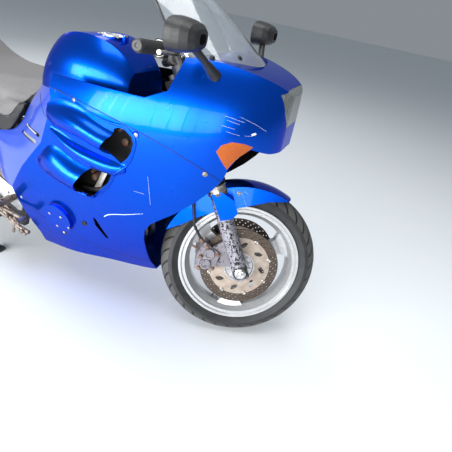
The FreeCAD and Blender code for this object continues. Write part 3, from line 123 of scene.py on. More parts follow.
# columns: place, the point it faces, width, length, power
SOFT_LAMPS = [((0.3, -0.2, 4.6), (0.2, 0, 0.5), 3.4, 3.4, 165),
              ((-2.8, 2.4, 3.4), (0.0, 0, 0.6), 3.0, 3.0, 45)]
WINDOW_LAMPS = [((-4.2 + 0.75 * column, -4.6, 1.35), (0.3, -0.2, 0.8), 0.69, 1.9, 58 if column < 7 else 32)
                for column in range(11)]
for place, target, wide, long, power in SOFT_LAMPS + WINDOW_LAMPS:
    bpy.ops.object.light_add(type="AREA", location=place)
    lamp = bpy.context.object
    lamp.data.shape = "RECTANGLE"
    lamp.data.size = wide
    lamp.data.size_y = long
    lamp.data.energy = power
    lamp.rotation_mode = "QUATERNION"
    lamp.rotation_quaternion = (Vector(place) - Vector(target)).to_track_quat("Z", "Y")


# Steering: what the bars turn is made as it stands straight ahead and then turned
# to its left stop. Places are told from the floor under the straight front axle.
STEER_AT_REST = math.radians(26)
AXLE_HEIGHT = 0.3
shift = Matrix.Translation


def spin(angle, axis):
    return Matrix.Rotation(angle, 4, axis)


steer_place = Vector(joint["steering"]["pos_m"])
steer_axis = Vector(joint["steering"]["axis"])
steered = shift(steer_place) @ spin(STEER_AT_REST, steer_axis) @ shift(-steer_place)
front_axle = steered.inverted() @ Vector(joint["front_wheel_spin"]["pos_m"])
rear_axle = Vector(joint["rear_wheel_spin"]["pos_m"])
under_axle = front_axle - Vector((0, 0, AXLE_HEIGHT))
rake = math.atan2(-steer_axis.x, steer_axis.z)


def at(x, y, z):
    """A place told from the floor under the straight front axle."""
    return under_axle + Vector((x, y, z))


def mm(x, y, z):
    """The same, told in millimetres."""
    return at(x / 1000, y / 1000, z / 1000)


# Black steelwork: frame, swingarm, yokes and stands are satin black paint over
# steel and alloy, a little dusty. Every finish varies in tone and gloss over the
# surface and has the fine relief of its own making.
def finish(name, tone, worn_tone, grain, rough, relief=0.1, metal=0.0, coat=0.0, wear=0.3):
    """A surface of two tones mixed by a cloudy pattern, with a fine relief of the same grain."""
    made = new_material(name)
    place = step(made, "TexCoord", {}).outputs["Object"]
    clouds = step(made, "TexNoise", {"Scale": grain / 12, "Detail": 6, "Vector": place}).outputs["Fac"]
    tones = step(made, "ValToRGB", {"Fac": clouds})
    ends = ((0.5 - wear / 2, tone), (0.5 + wear / 2 + 0.2, worn_tone))
    for stop, (position, colour) in zip(tones.color_ramp.elements, ends):
        stop.position = position
        stop.color = (*colour, 1)
    fine = step(made, "TexNoise", {"Scale": grain, "Detail": 3, "Vector": place}).outputs["Fac"]
    gloss = step(made, "MapRange", {"To Min": rough[0], "To Max": rough[1], "Value": clouds})
    bump = step(made, "Bump", {"Strength": relief, "Distance": 0.001, "Height": fine}, name="relief")
    feed(made, shader_of(made), {
        "Base Color": tones.outputs["Color"], "Roughness": gloss.outputs["Result"], "Normal": bump.outputs["Normal"],
        "Metallic": metal, "Coat Weight": coat, "Coat Roughness": 0.03})
    return made


def overlay(made, factor, tone):
    """Lays another tone over a finish wherever the factor is 1."""
    under = shader_of(made).inputs["Base Color"].links[0].from_socket
    mix = step(made, "Mix", {"Factor": factor, "A": under, "B": (*tone, 1)}, data_type="RGBA")
    feed(made, shader_of(made), {"Base Color": mix.outputs["Result"]})


def embossed(made, height, strength, distance, sunk=False):
    """Adds a coarser relief over a finish's own."""
    fine = made.node_tree.nodes["relief"].outputs["Normal"]
    bump = step(made, "Bump", {"Strength": strength, "Distance": distance, "Height": height, "Normal": fine},
                invert=sunk)
    feed(made, shader_of(made), {"Normal": bump.outputs["Normal"]})
    return made


def clad(material, *names):
    for name in names:
        slots = node[name].data.materials
        slots.clear()
        slots.append(material)


satin_black = finish("satin_black_paint", (0.016, 0.016, 0.018), (0.035, 0.035, 0.037), 700, (0.38, 0.55), 0.12)
clad(satin_black, "frame", "swingarm", "handlebars", "yokes", "centre_stand", "side_stand", "headlamp_housing",
     "instrument_panel")
engine_cast = finish("engine_casting", (0.06, 0.06, 0.063), (0.12, 0.115, 0.11), 350, (0.5, 0.7), 0.4, 0.6)
clad(engine_cast, "engine")


# Tyres: black road tyres, dusty on the walls, with slanting tread grooves cut in
# both shoulders and a groove round each side of the crown, drawn as a bump with near-black painted shade.
TREAD_DUST, GROOVE_SHADE = (0.075, 0.074, 0.072), (0.003, 0.003, 0.003)
GROOVE_SLANT, GROOVE_SHARE, PLAIN_CROWN = 26.0, 0.2, 0.009
CROWN_GROOVE, CROWN_GROOVE_HALF, CROWN_WAVE = 0.0165, 0.0016, 0.0016


def tread(made, wheel_place, turned_by, blocks, edge):
    """Grooves told by the angle round the wheel and the distance across its crown."""
    place = step(made, "TexCoord", {}).outputs["Object"]
    about_wheel = step(made, "Mapping", {"Location": wheel_place, "Rotation": turned_by, "Vector": place},
                       vector_type="TEXTURE")
    forward, across, up = step(made, "SeparateXYZ", {0: about_wheel.outputs["Vector"]}).outputs
    radius = reckon(made, "SQRT", reckon(made, "ADD", reckon(made, "MULTIPLY", forward, forward),
                                         reckon(made, "MULTIPLY", up, up)))
    angle = reckon(made, "ARCTAN2", up, forward)
    side = reckon(made, "ABSOLUTE", across)
    swept = reckon(made, "MULTIPLY_ADD", side, GROOVE_SLANT,
                   reckon(made, "MULTIPLY", angle, blocks / (2 * math.pi)))
    slanting = reckon(made, "LESS_THAN", reckon(made, "FRACT", swept), GROOVE_SHARE)
    wave = reckon(made, "SINE", reckon(made, "MULTIPLY", angle, blocks))
    bent = reckon(made, "MULTIPLY_ADD", wave, CROWN_WAVE, side)
    off_line = reckon(made, "ABSOLUTE", reckon(made, "SUBTRACT", bent, CROWN_GROOVE))
    round_crown = reckon(made, "LESS_THAN", off_line, CROWN_GROOVE_HALF)
    off_crown = reckon(made, "GREATER_THAN", side, PLAIN_CROWN)
    on_tread = reckon(made, "GREATER_THAN", radius, edge)
    grooves = reckon(made, "MAXIMUM", reckon(made, "MULTIPLY", slanting, off_crown), round_crown)
    cut = reckon(made, "MULTIPLY", grooves, on_tread)
    overlay(made, on_tread, TREAD_DUST)
    # painted shade: the grooves, which are only a bump, are darkened to near black
    overlay(made, cut, GROOVE_SHADE)
    embossed(made, cut, 0.9, 0.004, True)


# columns: tyre, its middle, its turn, tread blocks, least radius of the tread
for tyre, middle, turned_by, blocks, edge in (("front_tyre", steered @ front_axle, steered.to_euler(), 34, 0.268),
                                              ("rear_tyre", rear_axle, (0, 0, 0), 30, 0.262)):
    rubber = finish(tyre + "_rubber", (0.02, 0.021, 0.023), (0.05, 0.05, 0.052), 420, (0.55, 0.75), 0.25, wear=0.5)
    tread(rubber, middle, turned_by, blocks, edge)
    clad(rubber, tyre)


# Cast wheels: silver paint on cast alloy, dulled by road dirt. The three broad
# spokes and the rims are the CAD's own.
wheel_silver = finish("wheel_silver_paint", (0.6, 0.62, 0.65), (0.43, 0.42, 0.4), 900, (0.24, 0.38), 0.05, 0.5, 0.5,
                      0.7)
clad(wheel_silver, "front_rim", "rear_rim")


# Brake discs: each front one is a drilled steel ring, brown with dust, floating on
# buttons round a cream-painted carrier with swept windows, and a silver hub dish
# with ribs. The rear disc is one drilled ring on a carrier of the same kind.
SMOOTH_BELOW = math.radians(35)


def fresh(add, **settings):
    """What an operator adds, as the only object selected."""
    bpy.ops.object.select_all(action="DESELECT")
    add(**settings)
    return bpy.context.object


def selected(*pieces):
    """Selects the pieces alone, the first one active."""
    bpy.ops.object.select_all(action="DESELECT")
    for piece in pieces:
        piece.select_set(True)
    bpy.context.view_layer.objects.active = pieces[0]
    return pieces[0]


def altered(piece, kind, **settings):
    """Puts a modifier on a piece and applies it."""
    modifier = selected(piece).modifiers.new(kind.lower(), kind)
    for name, value in settings.items():
        setattr(modifier, name, value)
    bpy.ops.object.modifier_apply(modifier=modifier.name)
    return piece


def moved(piece, place):
    piece.data.transform(place)
    return piece


def turned(profile, steps):
    """A closed profile of (radius, along) corners, spun round the Z axis."""
    piece = fresh(bpy.ops.mesh.primitive_plane_add, size=0.001)
    bpy.ops.object.mode_set(mode="EDIT")
    bpy.ops.mesh.select_all(action="SELECT")
    bpy.ops.mesh.merge(type="CENTER")
    bpy.ops.transform.translate(value=(profile[0][0], 0, profile[0][1]))
    for here, there in zip(profile, profile[1:] + profile[:1]):
        move = (there[0] - here[0], 0, there[1] - here[1])
        bpy.ops.mesh.extrude_region_move(TRANSFORM_OT_translate={"value": move})
    bpy.ops.mesh.select_all(action="SELECT")
    bpy.ops.mesh.remove_doubles(threshold=1e-6)
    bpy.ops.mesh.spin(steps=steps, angle=2 * math.pi, center=(0, 0, 0), axis=(0, 0, 1))
    bpy.ops.mesh.select_all(action="SELECT")
    bpy.ops.mesh.remove_doubles(threshold=1e-6)
    bpy.ops.mesh.normals_make_consistent(inside=False)
    bpy.ops.object.mode_set(mode="OBJECT")
    bpy.ops.object.shade_smooth_by_angle(angle=SMOOTH_BELOW)
    return piece


def twin(piece):
    """A copy with its own mesh."""
    made = piece.copy()
    made.data = piece.data.copy()
    bpy.context.collection.objects.link(made)
    return made


def repeated(pattern, places):
    """Copies of a piece at the places; the pattern itself goes."""
    twins = []
    for place in places:
        twins.append(twin(pattern))
        twins[-1].matrix_world = place @ pattern.matrix_world
    bpy.data.objects.remove(pattern, do_unlink=True)
    return twins


def joined(pieces):
    """The pieces as one object, the first one's."""
    bpy.context.view_layer.update()
    selected(*pieces)
    bpy.ops.object.join()
    return bpy.context.object


def bored(piece, cutters):
    """The piece with the cutters' shapes taken out."""
    cutter = joined(cutters) if len(cutters) > 1 else cutters[0]
    altered(piece, "BOOLEAN", operation="DIFFERENCE", object=cutter)
    bpy.data.objects.remove(cutter, do_unlink=True)
    bpy.ops.object.shade_smooth_by_angle(angle=SMOOTH_BELOW)
    return piece


def settled(piece, name, body, material, place=Matrix.Identity(4)):
    """Gives a finished piece its place, its material and the body that carries it."""
    bpy.context.view_layer.update()
    piece.name = name
    whole = place @ piece.matrix_world
    piece.data.transform(whole)
    if whole.determinant() < 0:
        piece.data.flip_normals()
    piece.matrix_world = Matrix.Identity(4)
    piece.data.materials.clear()
    piece.data.materials.append(material)
    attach(piece, body)
    return piece


def plug(radius, depth, sides=12):
    """A plain round or many-sided plug along Z."""
    return fresh(bpy.ops.mesh.primitive_cylinder_add, radius=radius, depth=depth, vertices=sides)


def drum(radius, depth, sides=12):
    """A plug with bevelled rims."""
    made = altered(plug(radius, depth, sides), "BEVEL", width=min(radius, depth) * 0.14, segments=2,
                   limit_method="ANGLE", angle_limit=math.radians(50))
    bpy.ops.object.shade_smooth_by_angle(angle=SMOOTH_BELOW)
    return made


ALONG_AXLE = spin(-math.pi / 2, "X")


def crosswise(place, radius, depth, sides=12):
    """A drum that lies across the machine."""
    return moved(drum(radius, depth, sides), shift(place) @ ALONG_AXLE)


DISC_RING_WIDTH = 0.033
DISC_HALF_THICKNESS = 0.0025
DISC_CHAMFER = 0.0008
HOLE_ROWS, HOLE_TURNS, HOLE_SWEEP = (0.22, 0.5, 0.78), 36, 3.4
HUB_DISH_RADIUS = 0.058


def drilled_ring(radius):
    """The rubbed ring, with three swept rows of holes."""
    half, bevel = DISC_HALF_THICKNESS, DISC_CHAMFER
    inner = radius - DISC_RING_WIDTH
    ring = turned([(inner, -half), (radius - bevel, -half), (radius, -half + bevel), (radius, half - bevel),
                   (radius - bevel, half), (inner, half)], 120)
    drills = []
    for turn in range(HOLE_TURNS):
        for row, share in enumerate(HOLE_ROWS):
            angle = math.radians(10 * turn + HOLE_SWEEP * row)
            reach = inner + DISC_RING_WIDTH * share
            drills.append(shift((reach * math.cos(angle), reach * math.sin(angle), 0)))
    return bored(ring, repeated(plug(0.0026, 0.02, 10), drills))


def carrier(radius, windows):
    """The carrier inside the ring: a dished plate with swept windows."""
    outer, inner = radius - DISC_RING_WIDTH + 0.0004, HUB_DISH_RADIUS - 0.004
    plate = turned([(inner, -0.003), (outer - 0.012, -0.003), (outer - 0.008, -0.0018), (outer, -0.0018),
                    (outer, 0.0018), (outer - 0.008, 0.0018), (outer - 0.012, 0.003), (inner, 0.003)], 96)
    window = moved(plug(0.0085, 0.03, 16), Matrix.Diagonal((1.9, 1, 1, 1)))
    middle = (HUB_DISH_RADIUS + outer) / 2
    return bored(plate, repeated(window, [spin(2 * math.pi * index / windows, "Z") @ shift((middle, 0, 0))
                                          @ spin(0.85, "Z") for index in range(windows)]))


def buttons(radius, count):
    """The dished rivets that hold the ring to its carrier."""
    button = turned([(0.0, -0.0042), (0.0052, -0.0042), (0.0078, -0.003), (0.0078, 0.003), (0.0052, 0.0042),
                     (0.003, 0.0032), (0.0, 0.0032)], 20)
    return joined(repeated(button, [spin(2 * math.pi * (index + 0.5) / count, "Z")
                                    @ shift((radius - DISC_RING_WIDTH, 0, 0)) for index in range(count)]))


def hub_dish(depth):
    """A shallow silver dish round the axle with twelve ribs."""
    rim = HUB_DISH_RADIUS
    dish = turned([(0.029, -0.004), (rim, -0.004), (rim, depth), (rim - 0.004, depth), (rim - 0.007, 0.002),
                   (0.037, 0.001), (0.034, depth + 0.003), (0.029, depth + 0.003)], 72)
    rib = moved(fresh(bpy.ops.mesh.primitive_cube_add, size=1),
                shift((0.0435, 0, 0.0042)) @ Matrix.Diagonal((0.019, 0.0028, 0.0055, 1)))
    return joined([dish] + repeated(rib, [spin(math.radians(30 * index), "Z") for index in range(12)]))


rubbed_steel = finish("disc_steel", (0.105, 0.082, 0.066), (0.06, 0.042, 0.032), 300, (0.34, 0.5), 0.12, 0.75,
                      wear=0.5)
cream_paint = finish("carrier_cream_paint", (0.5, 0.43, 0.37), (0.24, 0.17, 0.12), 520, (0.45, 0.6), 0.12, 0.1,
                     wear=0.55)
hub_silver = finish("hub_silver", (0.56, 0.57, 0.6), (0.4, 0.39, 0.38), 700, (0.26, 0.4), 0.08, 0.6, wear=0.6)
rivet_zinc = finish("rivet_zinc", (0.42, 0.4, 0.37), (0.25, 0.2, 0.15), 600, (0.3, 0.45), 0.1, 0.9)
FRONT_DISC_AT, REAR_DISC_AT = 0.066, -0.0865


def brake_disc(end, side_name, radius, windows, dish_depth, place):
    """One disc with its carrier, its rivets and the dish of its hub."""
    body, tail = end + "_wheel", side_name and "_" + side_name
    ring = settled(drilled_ring(radius), end + "_disc_ring" + tail, body, rubbed_steel, place)
    settled(carrier(radius, windows), end + "_disc_carrier" + tail, body, cream_paint, place)
    settled(buttons(radius, windows), end + "_disc_buttons" + tail, body, rivet_zinc, place)
    settled(hub_dish(dish_depth), end + "_hub_dish" + tail, body, hub_silver, place)
    return ring


for side, side_name in ((1, "left"), (-1, "right")):
    here = (steered @ shift(front_axle) @ Matrix.Diagonal((1, side, 1, 1)) @ shift((0, FRONT_DISC_AT, 0))
            @ ALONG_AXLE)
    front_ring = brake_disc("front", side_name, 0.148, 8, 0.007, here)
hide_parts("front_discs")
rear_ring = brake_disc("rear", "", 0.128, 6, 0.003, shift(rear_axle) @ shift((0, REAR_DISC_AT, 0)) @ ALONG_AXLE)
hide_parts("rear_disc")


# Fork: cast lower legs whose silver paint has flaked to the dark metal, chromed
# tubes, a bright seal band with a rusty hose clamp on it, and the bolted foot
# clamp with the axle's bright nut.
FORK_HALF_SPACING = 0.104
FORK_LOWER_LENGTH = 0.335
SEAL_RADIUS = 0.0332


def patched(made, scale, share, tone):
    """Hard-edged patches of another tone, where paint has come off."""
    place = step(made, "TexCoord", {}).outputs["Object"]
    patches = step(made, "TexNoise", {"Scale": scale, "Detail": 5, "Roughness": 0.65, "Distortion": 0.6,
                                      "Vector": place}).outputs["Fac"]
    edge = step(made, "MapRange", {"From Min": share - 0.012, "From Max": share + 0.012, "Value": patches})
    overlay(made, edge.outputs["Result"], tone)
    return made


flaked_silver = patched(finish("leg_flaked_silver", (0.38, 0.37, 0.42), (0.27, 0.26, 0.3), 900, (0.38, 0.6), 0.3,
                               0.35), 105, 0.53, (0.012, 0.011, 0.014))
clad(flaked_silver, "fork_lowers")
chrome = finish("chrome", (0.7, 0.7, 0.72), (0.55, 0.53, 0.5), 900, (0.06, 0.16), 0.02, 1.0)
clad(chrome, "fork_tubes")
zinc = finish("zinc_plate", (0.42, 0.41, 0.38), (0.27, 0.23, 0.18), 400, (0.3, 0.5), 0.1, 0.9)
clad(zinc, "front_axle", "rear_axle", "swingarm_pin", "levers", "rear_damper")
seal_steel = finish("seal_band_steel", (0.6, 0.57, 0.53), (0.33, 0.25, 0.18), 260, (0.2, 0.4), 0.1, 0.95, wear=0.4)
rusty_steel = patched(finish("rusty_steel", (0.22, 0.17, 0.14), (0.13, 0.07, 0.045), 380, (0.45, 0.7), 0.3, 0.5,
                             wear=0.5), 120, 0.56, (0.26, 0.085, 0.035))
clamp_black = finish("foot_clamp_black", (0.012, 0.012, 0.013), (0.05, 0.048, 0.048), 500, (0.3, 0.5), 0.2, 0.3,
                     wear=0.4)
fork_turn = spin(-rake, "Y")


def on_leg(along, side):
    """A frame on a fork leg with Z up the leg, told from the axle."""
    return steered @ shift(front_axle + steer_axis * along + Vector((0, side * FORK_HALF_SPACING, 0))) @ fork_turn


for side, side_name in ((1, "left"), (-1, "right")):
    mirrored = Matrix.Diagonal((1, side, 1, 1)) @ ALONG_AXLE
    reach = SEAL_RADIUS
    band = turned([(reach - 0.004, 0.0), (reach + 0.0006, 0.0), (reach + 0.0014, 0.003), (reach + 0.0004, 0.006),
                   (reach + 0.0004, 0.019), (reach + 0.0016, 0.022), (reach + 0.0006, 0.0262),
                   (reach - 0.004, 0.0262)], 64)
    settled(band, "fork_seal_band_" + side_name, "steering", seal_steel,
            on_leg(FORK_LOWER_LENGTH - 0.026, side))
    wiper = turned([(0.0212, 0.0), (0.031, 0.0), (0.0318, 0.003), (0.029, 0.008), (0.0235, 0.012), (0.0212, 0.0115)],
                   48)
    settled(wiper, "fork_dust_wiper_" + side_name, "steering", clamp_black,
            on_leg(FORK_LOWER_LENGTH + 0.0004, side))
    clip = turned([(0.0328, -0.0035), (0.0344, -0.0035), (0.0344, 0.0035), (0.0328, 0.0035)], 48)
    screw_box = moved(drum(0.0045, 0.016, 8), shift((0.03, -side * 0.02, 0)) @ spin(math.pi / 2, "X"))
    settled(joined([clip, screw_box]), "fork_hose_clip_" + side_name, "steering", rusty_steel,
            on_leg(FORK_LOWER_LENGTH - 0.03, side))
    # the split foot: two pinch bolts ahead of the axle, and the rim of its eye
    boss_rim = moved(turned([(0.0262, 0.0255), (0.0268, 0.0275), (0.0225, 0.0292), (0.016, 0.0292),
                             (0.0155, 0.0272)], 48), mirrored)
    pinch_bolts = [crosswise((0.0225, 0, lift), 0.0075, 0.046, 6) for lift in (-0.013, 0.013)]
    settled(joined([boss_rim] + pinch_bolts), "fork_foot_clamp_" + side_name, "steering", clamp_black,
            steered @ shift(front_axle + Vector((0, side * FORK_HALF_SPACING, 0))) @ fork_turn)
    nut_end = turned([(0.0, 0.147), (0.0085, 0.147), (0.0105, 0.1462), (0.0105, 0.1472), (0.0145, 0.1472),
                      (0.0157, 0.146), (0.0157, 0.134), (0.014, 0.1334), (0.0, 0.1334)], 6)
    flange = turned([(0.0, 0.1338), (0.0205, 0.1338), (0.0205, 0.1362), (0.0165, 0.1385), (0.0, 0.1385)], 40)
    settled(moved(joined([nut_end, flange]), mirrored), "front_axle_nut_" + side_name, "steering", chrome,
            steered @ shift(front_axle))


# Front calipers: weathered grey anodised two-piston bodies on a lug of the leg,
# with rusty bolts, a bleed nipple and the hose's banjo bolt.
caliper_grey = patched(finish("caliper_anodised", (0.2, 0.19, 0.225), (0.3, 0.28, 0.3), 420, (0.4, 0.6), 0.3, 0.4,
                              wear=0.5), 75, 0.6, (0.03, 0.028, 0.03))
clad(caliper_grey, "front_calipers", "rear_caliper")
hose_rubber = finish("hose_rubber", (0.013, 0.013, 0.014), (0.024, 0.024, 0.026), 500, (0.4, 0.6), 0.1)
clad(hose_rubber, "grips", "brake_hoses")
CALIPER_FACE = 0.104
PISTONS, PISTON_REACH, PISTON_RADIUS, PISTON_HEIGHT = (160.0, 178.0), 0.131, 0.0215, 0.012
# columns: distance from the axle, angle from straight ahead in degrees, radius, height off the caliper's face
CALIPER_BOLTS = [(0.152, 152.5, 0.0068, 0.009), (0.155, 169.0, 0.0062, 0.01), (0.152, 186.0, 0.0068, 0.009),
                 (0.101, 153.0, 0.0058, 0.008), (0.101, 186.0, 0.0058, 0.008)]
LUG_BOLTS = [(-0.052, 0.092), (-0.095, 0.028)]


def around_axle(reach, degrees, height):
    """A place on the caliper's face, by its distance and angle about the axle."""
    angle = math.radians(degrees)
    return shift((reach * math.cos(angle), CALIPER_FACE + height, reach * math.sin(angle))) @ ALONG_AXLE


for side, side_name in ((1, "left"), (-1, "right")):
    here = steered @ shift(front_axle) @ Matrix.Diagonal((1, side, 1, 1))
    radius, height = PISTON_RADIUS, PISTON_HEIGHT
    cups = [moved(turned([(0.0, -0.003), (radius, -0.003), (radius, height * 0.55), (radius * 0.86, height),
                          (radius * 0.6, height), (radius * 0.5, height * 0.7), (0.0, height * 0.7)], 36),
                  around_axle(PISTON_REACH, degrees, 0.0)) for degrees in PISTONS]
    web = moved(drum(0.013, 0.014, 24), around_axle(0.133, 169, 0.002))
    settled(joined(cups + [web]), "caliper_pistons_" + side_name, "steering", caliper_grey, here)
    bolts = []
    for reach, degrees, radius, height in CALIPER_BOLTS:
        bolts += [moved(drum(radius, height * 1.6, 6), around_axle(reach, degrees, height * 0.5)),
                  moved(drum(radius * 1.3, 0.003, 20), around_axle(reach, degrees, 0.0012))]
    nipple = moved(drum(0.0042, 0.03, 8), shift((-0.176, CALIPER_FACE - 0.02, 0.052)) @ spin(-1.2, "Y"))
    banjo = moved(drum(0.0085, 0.02, 14), shift((-0.158, CALIPER_FACE - 0.012, 0.084)) @ spin(-0.7, "Y"))
    settled(joined(bolts + [nipple, banjo]), "caliper_bolts_" + side_name, "steering", rusty_steel, here)
    lug_bolts = []
    for x, z in LUG_BOLTS:
        eye = turned([(0.006, -0.004), (0.0155, -0.004), (0.0155, 0.003), (0.013, 0.0045), (0.006, 0.0045)], 28)
        lug_bolts += [crosswise((x, 0.096, z), 0.0095, 0.012, 6), moved(eye, shift((x, 0.0925, z)) @ ALONG_AXLE)]
    settled(joined(lug_bolts), "caliper_lug_bolts_" + side_name, "steering", clamp_black, here)


# Painted bodywork: azure metallic under clear coat on moulded plastic, black and
# unpainted on the side that faces the machine's middle.
AZURE, AZURE_DEEP = (0.0004, 0.074, 0.58), (0.0004, 0.067, 0.54)
BARE_PLASTIC = (0.008, 0.008, 0.009)
PAINT_METAL = 0.9
MIDDLE_HEIGHT = 0.7


def azure(name):
    made = finish(name, AZURE, AZURE_DEEP, 300, (0.26, 0.3), 0.0, PAINT_METAL, 1.0, 0.8)
    feed(made, shader_of(made), {"Specular IOR Level": 0.0, "Specular Tint": (0.05, 0.3, 1.0, 1), "Coat IOR": 1.16})
    return made


def black_inside(made):
    """Turns the faces that look at the machine's long middle line to bare black plastic."""
    place = step(made, "TexCoord", {}).outputs
    from_middle = step(made, "VectorMath", {0: place["Object"], 1: (0, 1, 1), 2: (0, 0, -MIDDLE_HEIGHT)},
                       operation="MULTIPLY_ADD").outputs["Vector"]
    facing = step(made, "VectorMath", {0: from_middle, 1: place["Normal"]}, operation="DOT_PRODUCT")
    inward = reckon(made, "LESS_THAN", facing.outputs["Value"], -0.02)
    overlay(made, inward, BARE_PLASTIC)
    feed(made, shader_of(made), {"Metallic": reckon(made, "MULTIPLY_ADD", inward, -PAINT_METAL, PAINT_METAL),
                                 "Coat Weight": reckon(made, "SUBTRACT", 1.0, inward)})
    return made


shell_paint = black_inside(azure("azure_shell_paint"))
clad(shell_paint, "upper_fairing", "side_fairing_right", "side_fairing_left", "tail_fairing")
solid_paint = azure("azure_paint")
clad(solid_paint, "engine_cover_pods", "fuel_tank", "front_fender", "belly_pan")


# Plain nodes behind: black radiator, polished alloy fittings, steel exhaust and
# the clear plastic of the windscreen.
radiator_black = finish("radiator_black", (0.014, 0.014, 0.015), (0.04, 0.04, 0.04), 500, (0.5, 0.7), 0.2, 0.4)
clad(radiator_black, "radiator")
bright_metal = finish("polished_alloy", (0.62, 0.63, 0.66), (0.5, 0.5, 0.53), 600, (0.2, 0.35), 0.06, 0.9)
clad(bright_metal, "grab_rail", "fuel_cap")
exhaust_steel = finish("exhaust_steel", (0.33, 0.3, 0.27), (0.22, 0.17, 0.13), 220, (0.25, 0.45), 0.1, 0.95)
clad(exhaust_steel, "exhaust_pipes", "silencers")
clear_glass = finish("clear_plastic", (0.75, 0.8, 0.84), (0.78, 0.83, 0.86), 300, (0.05, 0.08), 0.01, 0.0, 0.5)
feed(clear_glass, shader_of(clear_glass), {"Transmission Weight": 0.85})
clad(clear_glass, "windscreen")


# Fairing joints: dark bars along the shut line between upper and side panels and above
# the belly pan, painted as the shade in those gaps, and the rolled lip that runs round each recess of the vents.
SIDES = ((-1, "right"), (1, "left"))
FROM_BESIDE = 0.6


def hit(piece, start, aim, sunk=0.0):
    """Where a ray meets a piece, or that far under its skin, and the way the skin faces there."""
    struck, place, facing, _ = piece.ray_cast(start, aim)
    return (place - facing * sunk, facing) if struck else (None, None)


def skin(piece, x, z, side, sunk=0.0):
    """The same, from beside the machine at a place given in millimetres."""
    return hit(piece, at(x / 1000, side * FROM_BESIDE, z / 1000), Vector((0, -side, 0)), sunk)


def rounded(outline, rounds=3):
    """An outline with its corners cut off again and again, its ends kept."""
    for _ in range(rounds):
        shorter = [outline[0]]
        for here, there in zip(outline, outline[1:]):
            shorter += [tuple(0.75 * a + 0.25 * b for a, b in zip(here, there)),
                        tuple(0.25 * a + 0.75 * b for a, b in zip(here, there))]
        outline = shorter + [outline[-1]]
    return outline


def along_skin(piece, outline, side, sunk, rounds=3):
    """Places along an outline on a piece's skin, those off its edge left out."""
    places = [skin(piece, x, z, side, sunk)[0] for x, z in rounded(outline, rounds)]
    return [place for place in places if place]


def bar(places, radius, widths=None, rounding=3):
    """A round bar through the places, thinner where its widths say so."""
    path = fresh(bpy.ops.curve.primitive_nurbs_path_add)
    line = path.data.splines[0]
    if len(places) < 5:
        places = rounded([tuple(place) for place in places], 2)
    line.points.add(len(places) - len(line.points))
    for index, (knot, place) in enumerate(zip(line.points, places)):
        knot.co = (*place, 1)
        knot.radius = widths(index / (len(places) - 1)) if widths else 1
    line.order_u = 3
    line.use_endpoint_u = True
    line.resolution_u = 2 if len(places) > 20 else 6
    path.data.bevel_depth = radius
    path.data.bevel_resolution = rounding
    path.data.use_fill_caps = True
    bpy.ops.object.convert(target="MESH")
    bpy.ops.object.shade_smooth_by_angle(angle=math.radians(50))
    return bpy.context.object


def tapered(share):
    """Thin at both ends, full between."""
    return min(1.0, 0.2 + 5.0 * min(share, 1 - share))


SHUT_LINE = [(-52, 695), (-110, 734), (-199, 772), (-311, 802), (-435, 821), (-556, 833), (-645, 838)]
BELLY_LINE = [(-302, 259), (-441, 246), (-569, 264), (-600, 290), (-736, 310), (-858, 349)]
RECESS_LIP = [(-676, 552), (-621, 536), (-583, 523), (-545, 512), (-508, 510), (-475, 517), (-452, 531), (-430, 552),
              (-395, 594), (-380, 633), (-352, 660), (-330, 684), (-318, 706), (-310, 731), (-304, 758), (-311, 782),
              (-337, 799), (-366, 801), (-400, 799), (-455, 806), (-510, 817), (-556, 828)]
line_black = finish("shut_line_black", (0.004, 0.004, 0.006), (0.012, 0.012, 0.014), 400, (0.6, 0.8), 0.1)
for side, side_name in SIDES:
    panel = node["side_fairing_" + side_name]
    # painted shade: dark bars laid along the gaps between the panels
    shut = bar(along_skin(panel, SHUT_LINE, side, 0.0005, 2), 0.0013)
    belly = bar(along_skin(panel, BELLY_LINE, side, 0.0004, 2), 0.0009)
    settled(joined([shut, belly]), "fairing_shut_line_shade_" + side_name, "chassis", line_black)
    lip = bar(along_skin(panel, RECESS_LIP, side, 0.0012), 0.0046, tapered, 5)
    settled(lip, "vent_lip_" + side_name, "chassis", solid_paint)


# Fairing fixings: zinc button screws with a round socket, one of them down a
# dished well, the four of the cover pod, the dark bolt below it, and the ragged
# hole of a lost plug.
def outward(place, facing):
    """A frame on a panel with Z the way the skin faces."""
    return shift(place) @ facing.to_track_quat("Z", "Y").to_matrix().to_4x4()


def button_screw(spot, radius, height):
    """A domed head with a socket on a thin washer, at a place on a skin and the way it faces."""
    head = turned([(0.0, -0.001), (radius, -0.001), (radius, height * 0.25), (radius * 0.82, height * 0.75),
                   (radius * 0.5, height), (radius * 0.46, height), (radius * 0.4, height * 0.3),
                   (0.0, height * 0.25)], 18)
    washer = turned([(radius * 0.9, -0.001), (radius * 1.35, -0.001), (radius * 1.35, 0.0004),
                     (radius * 1.2, 0.0008), (radius * 0.9, 0.0008)], 24)
    return moved(joined([head, washer]), outward(*spot))


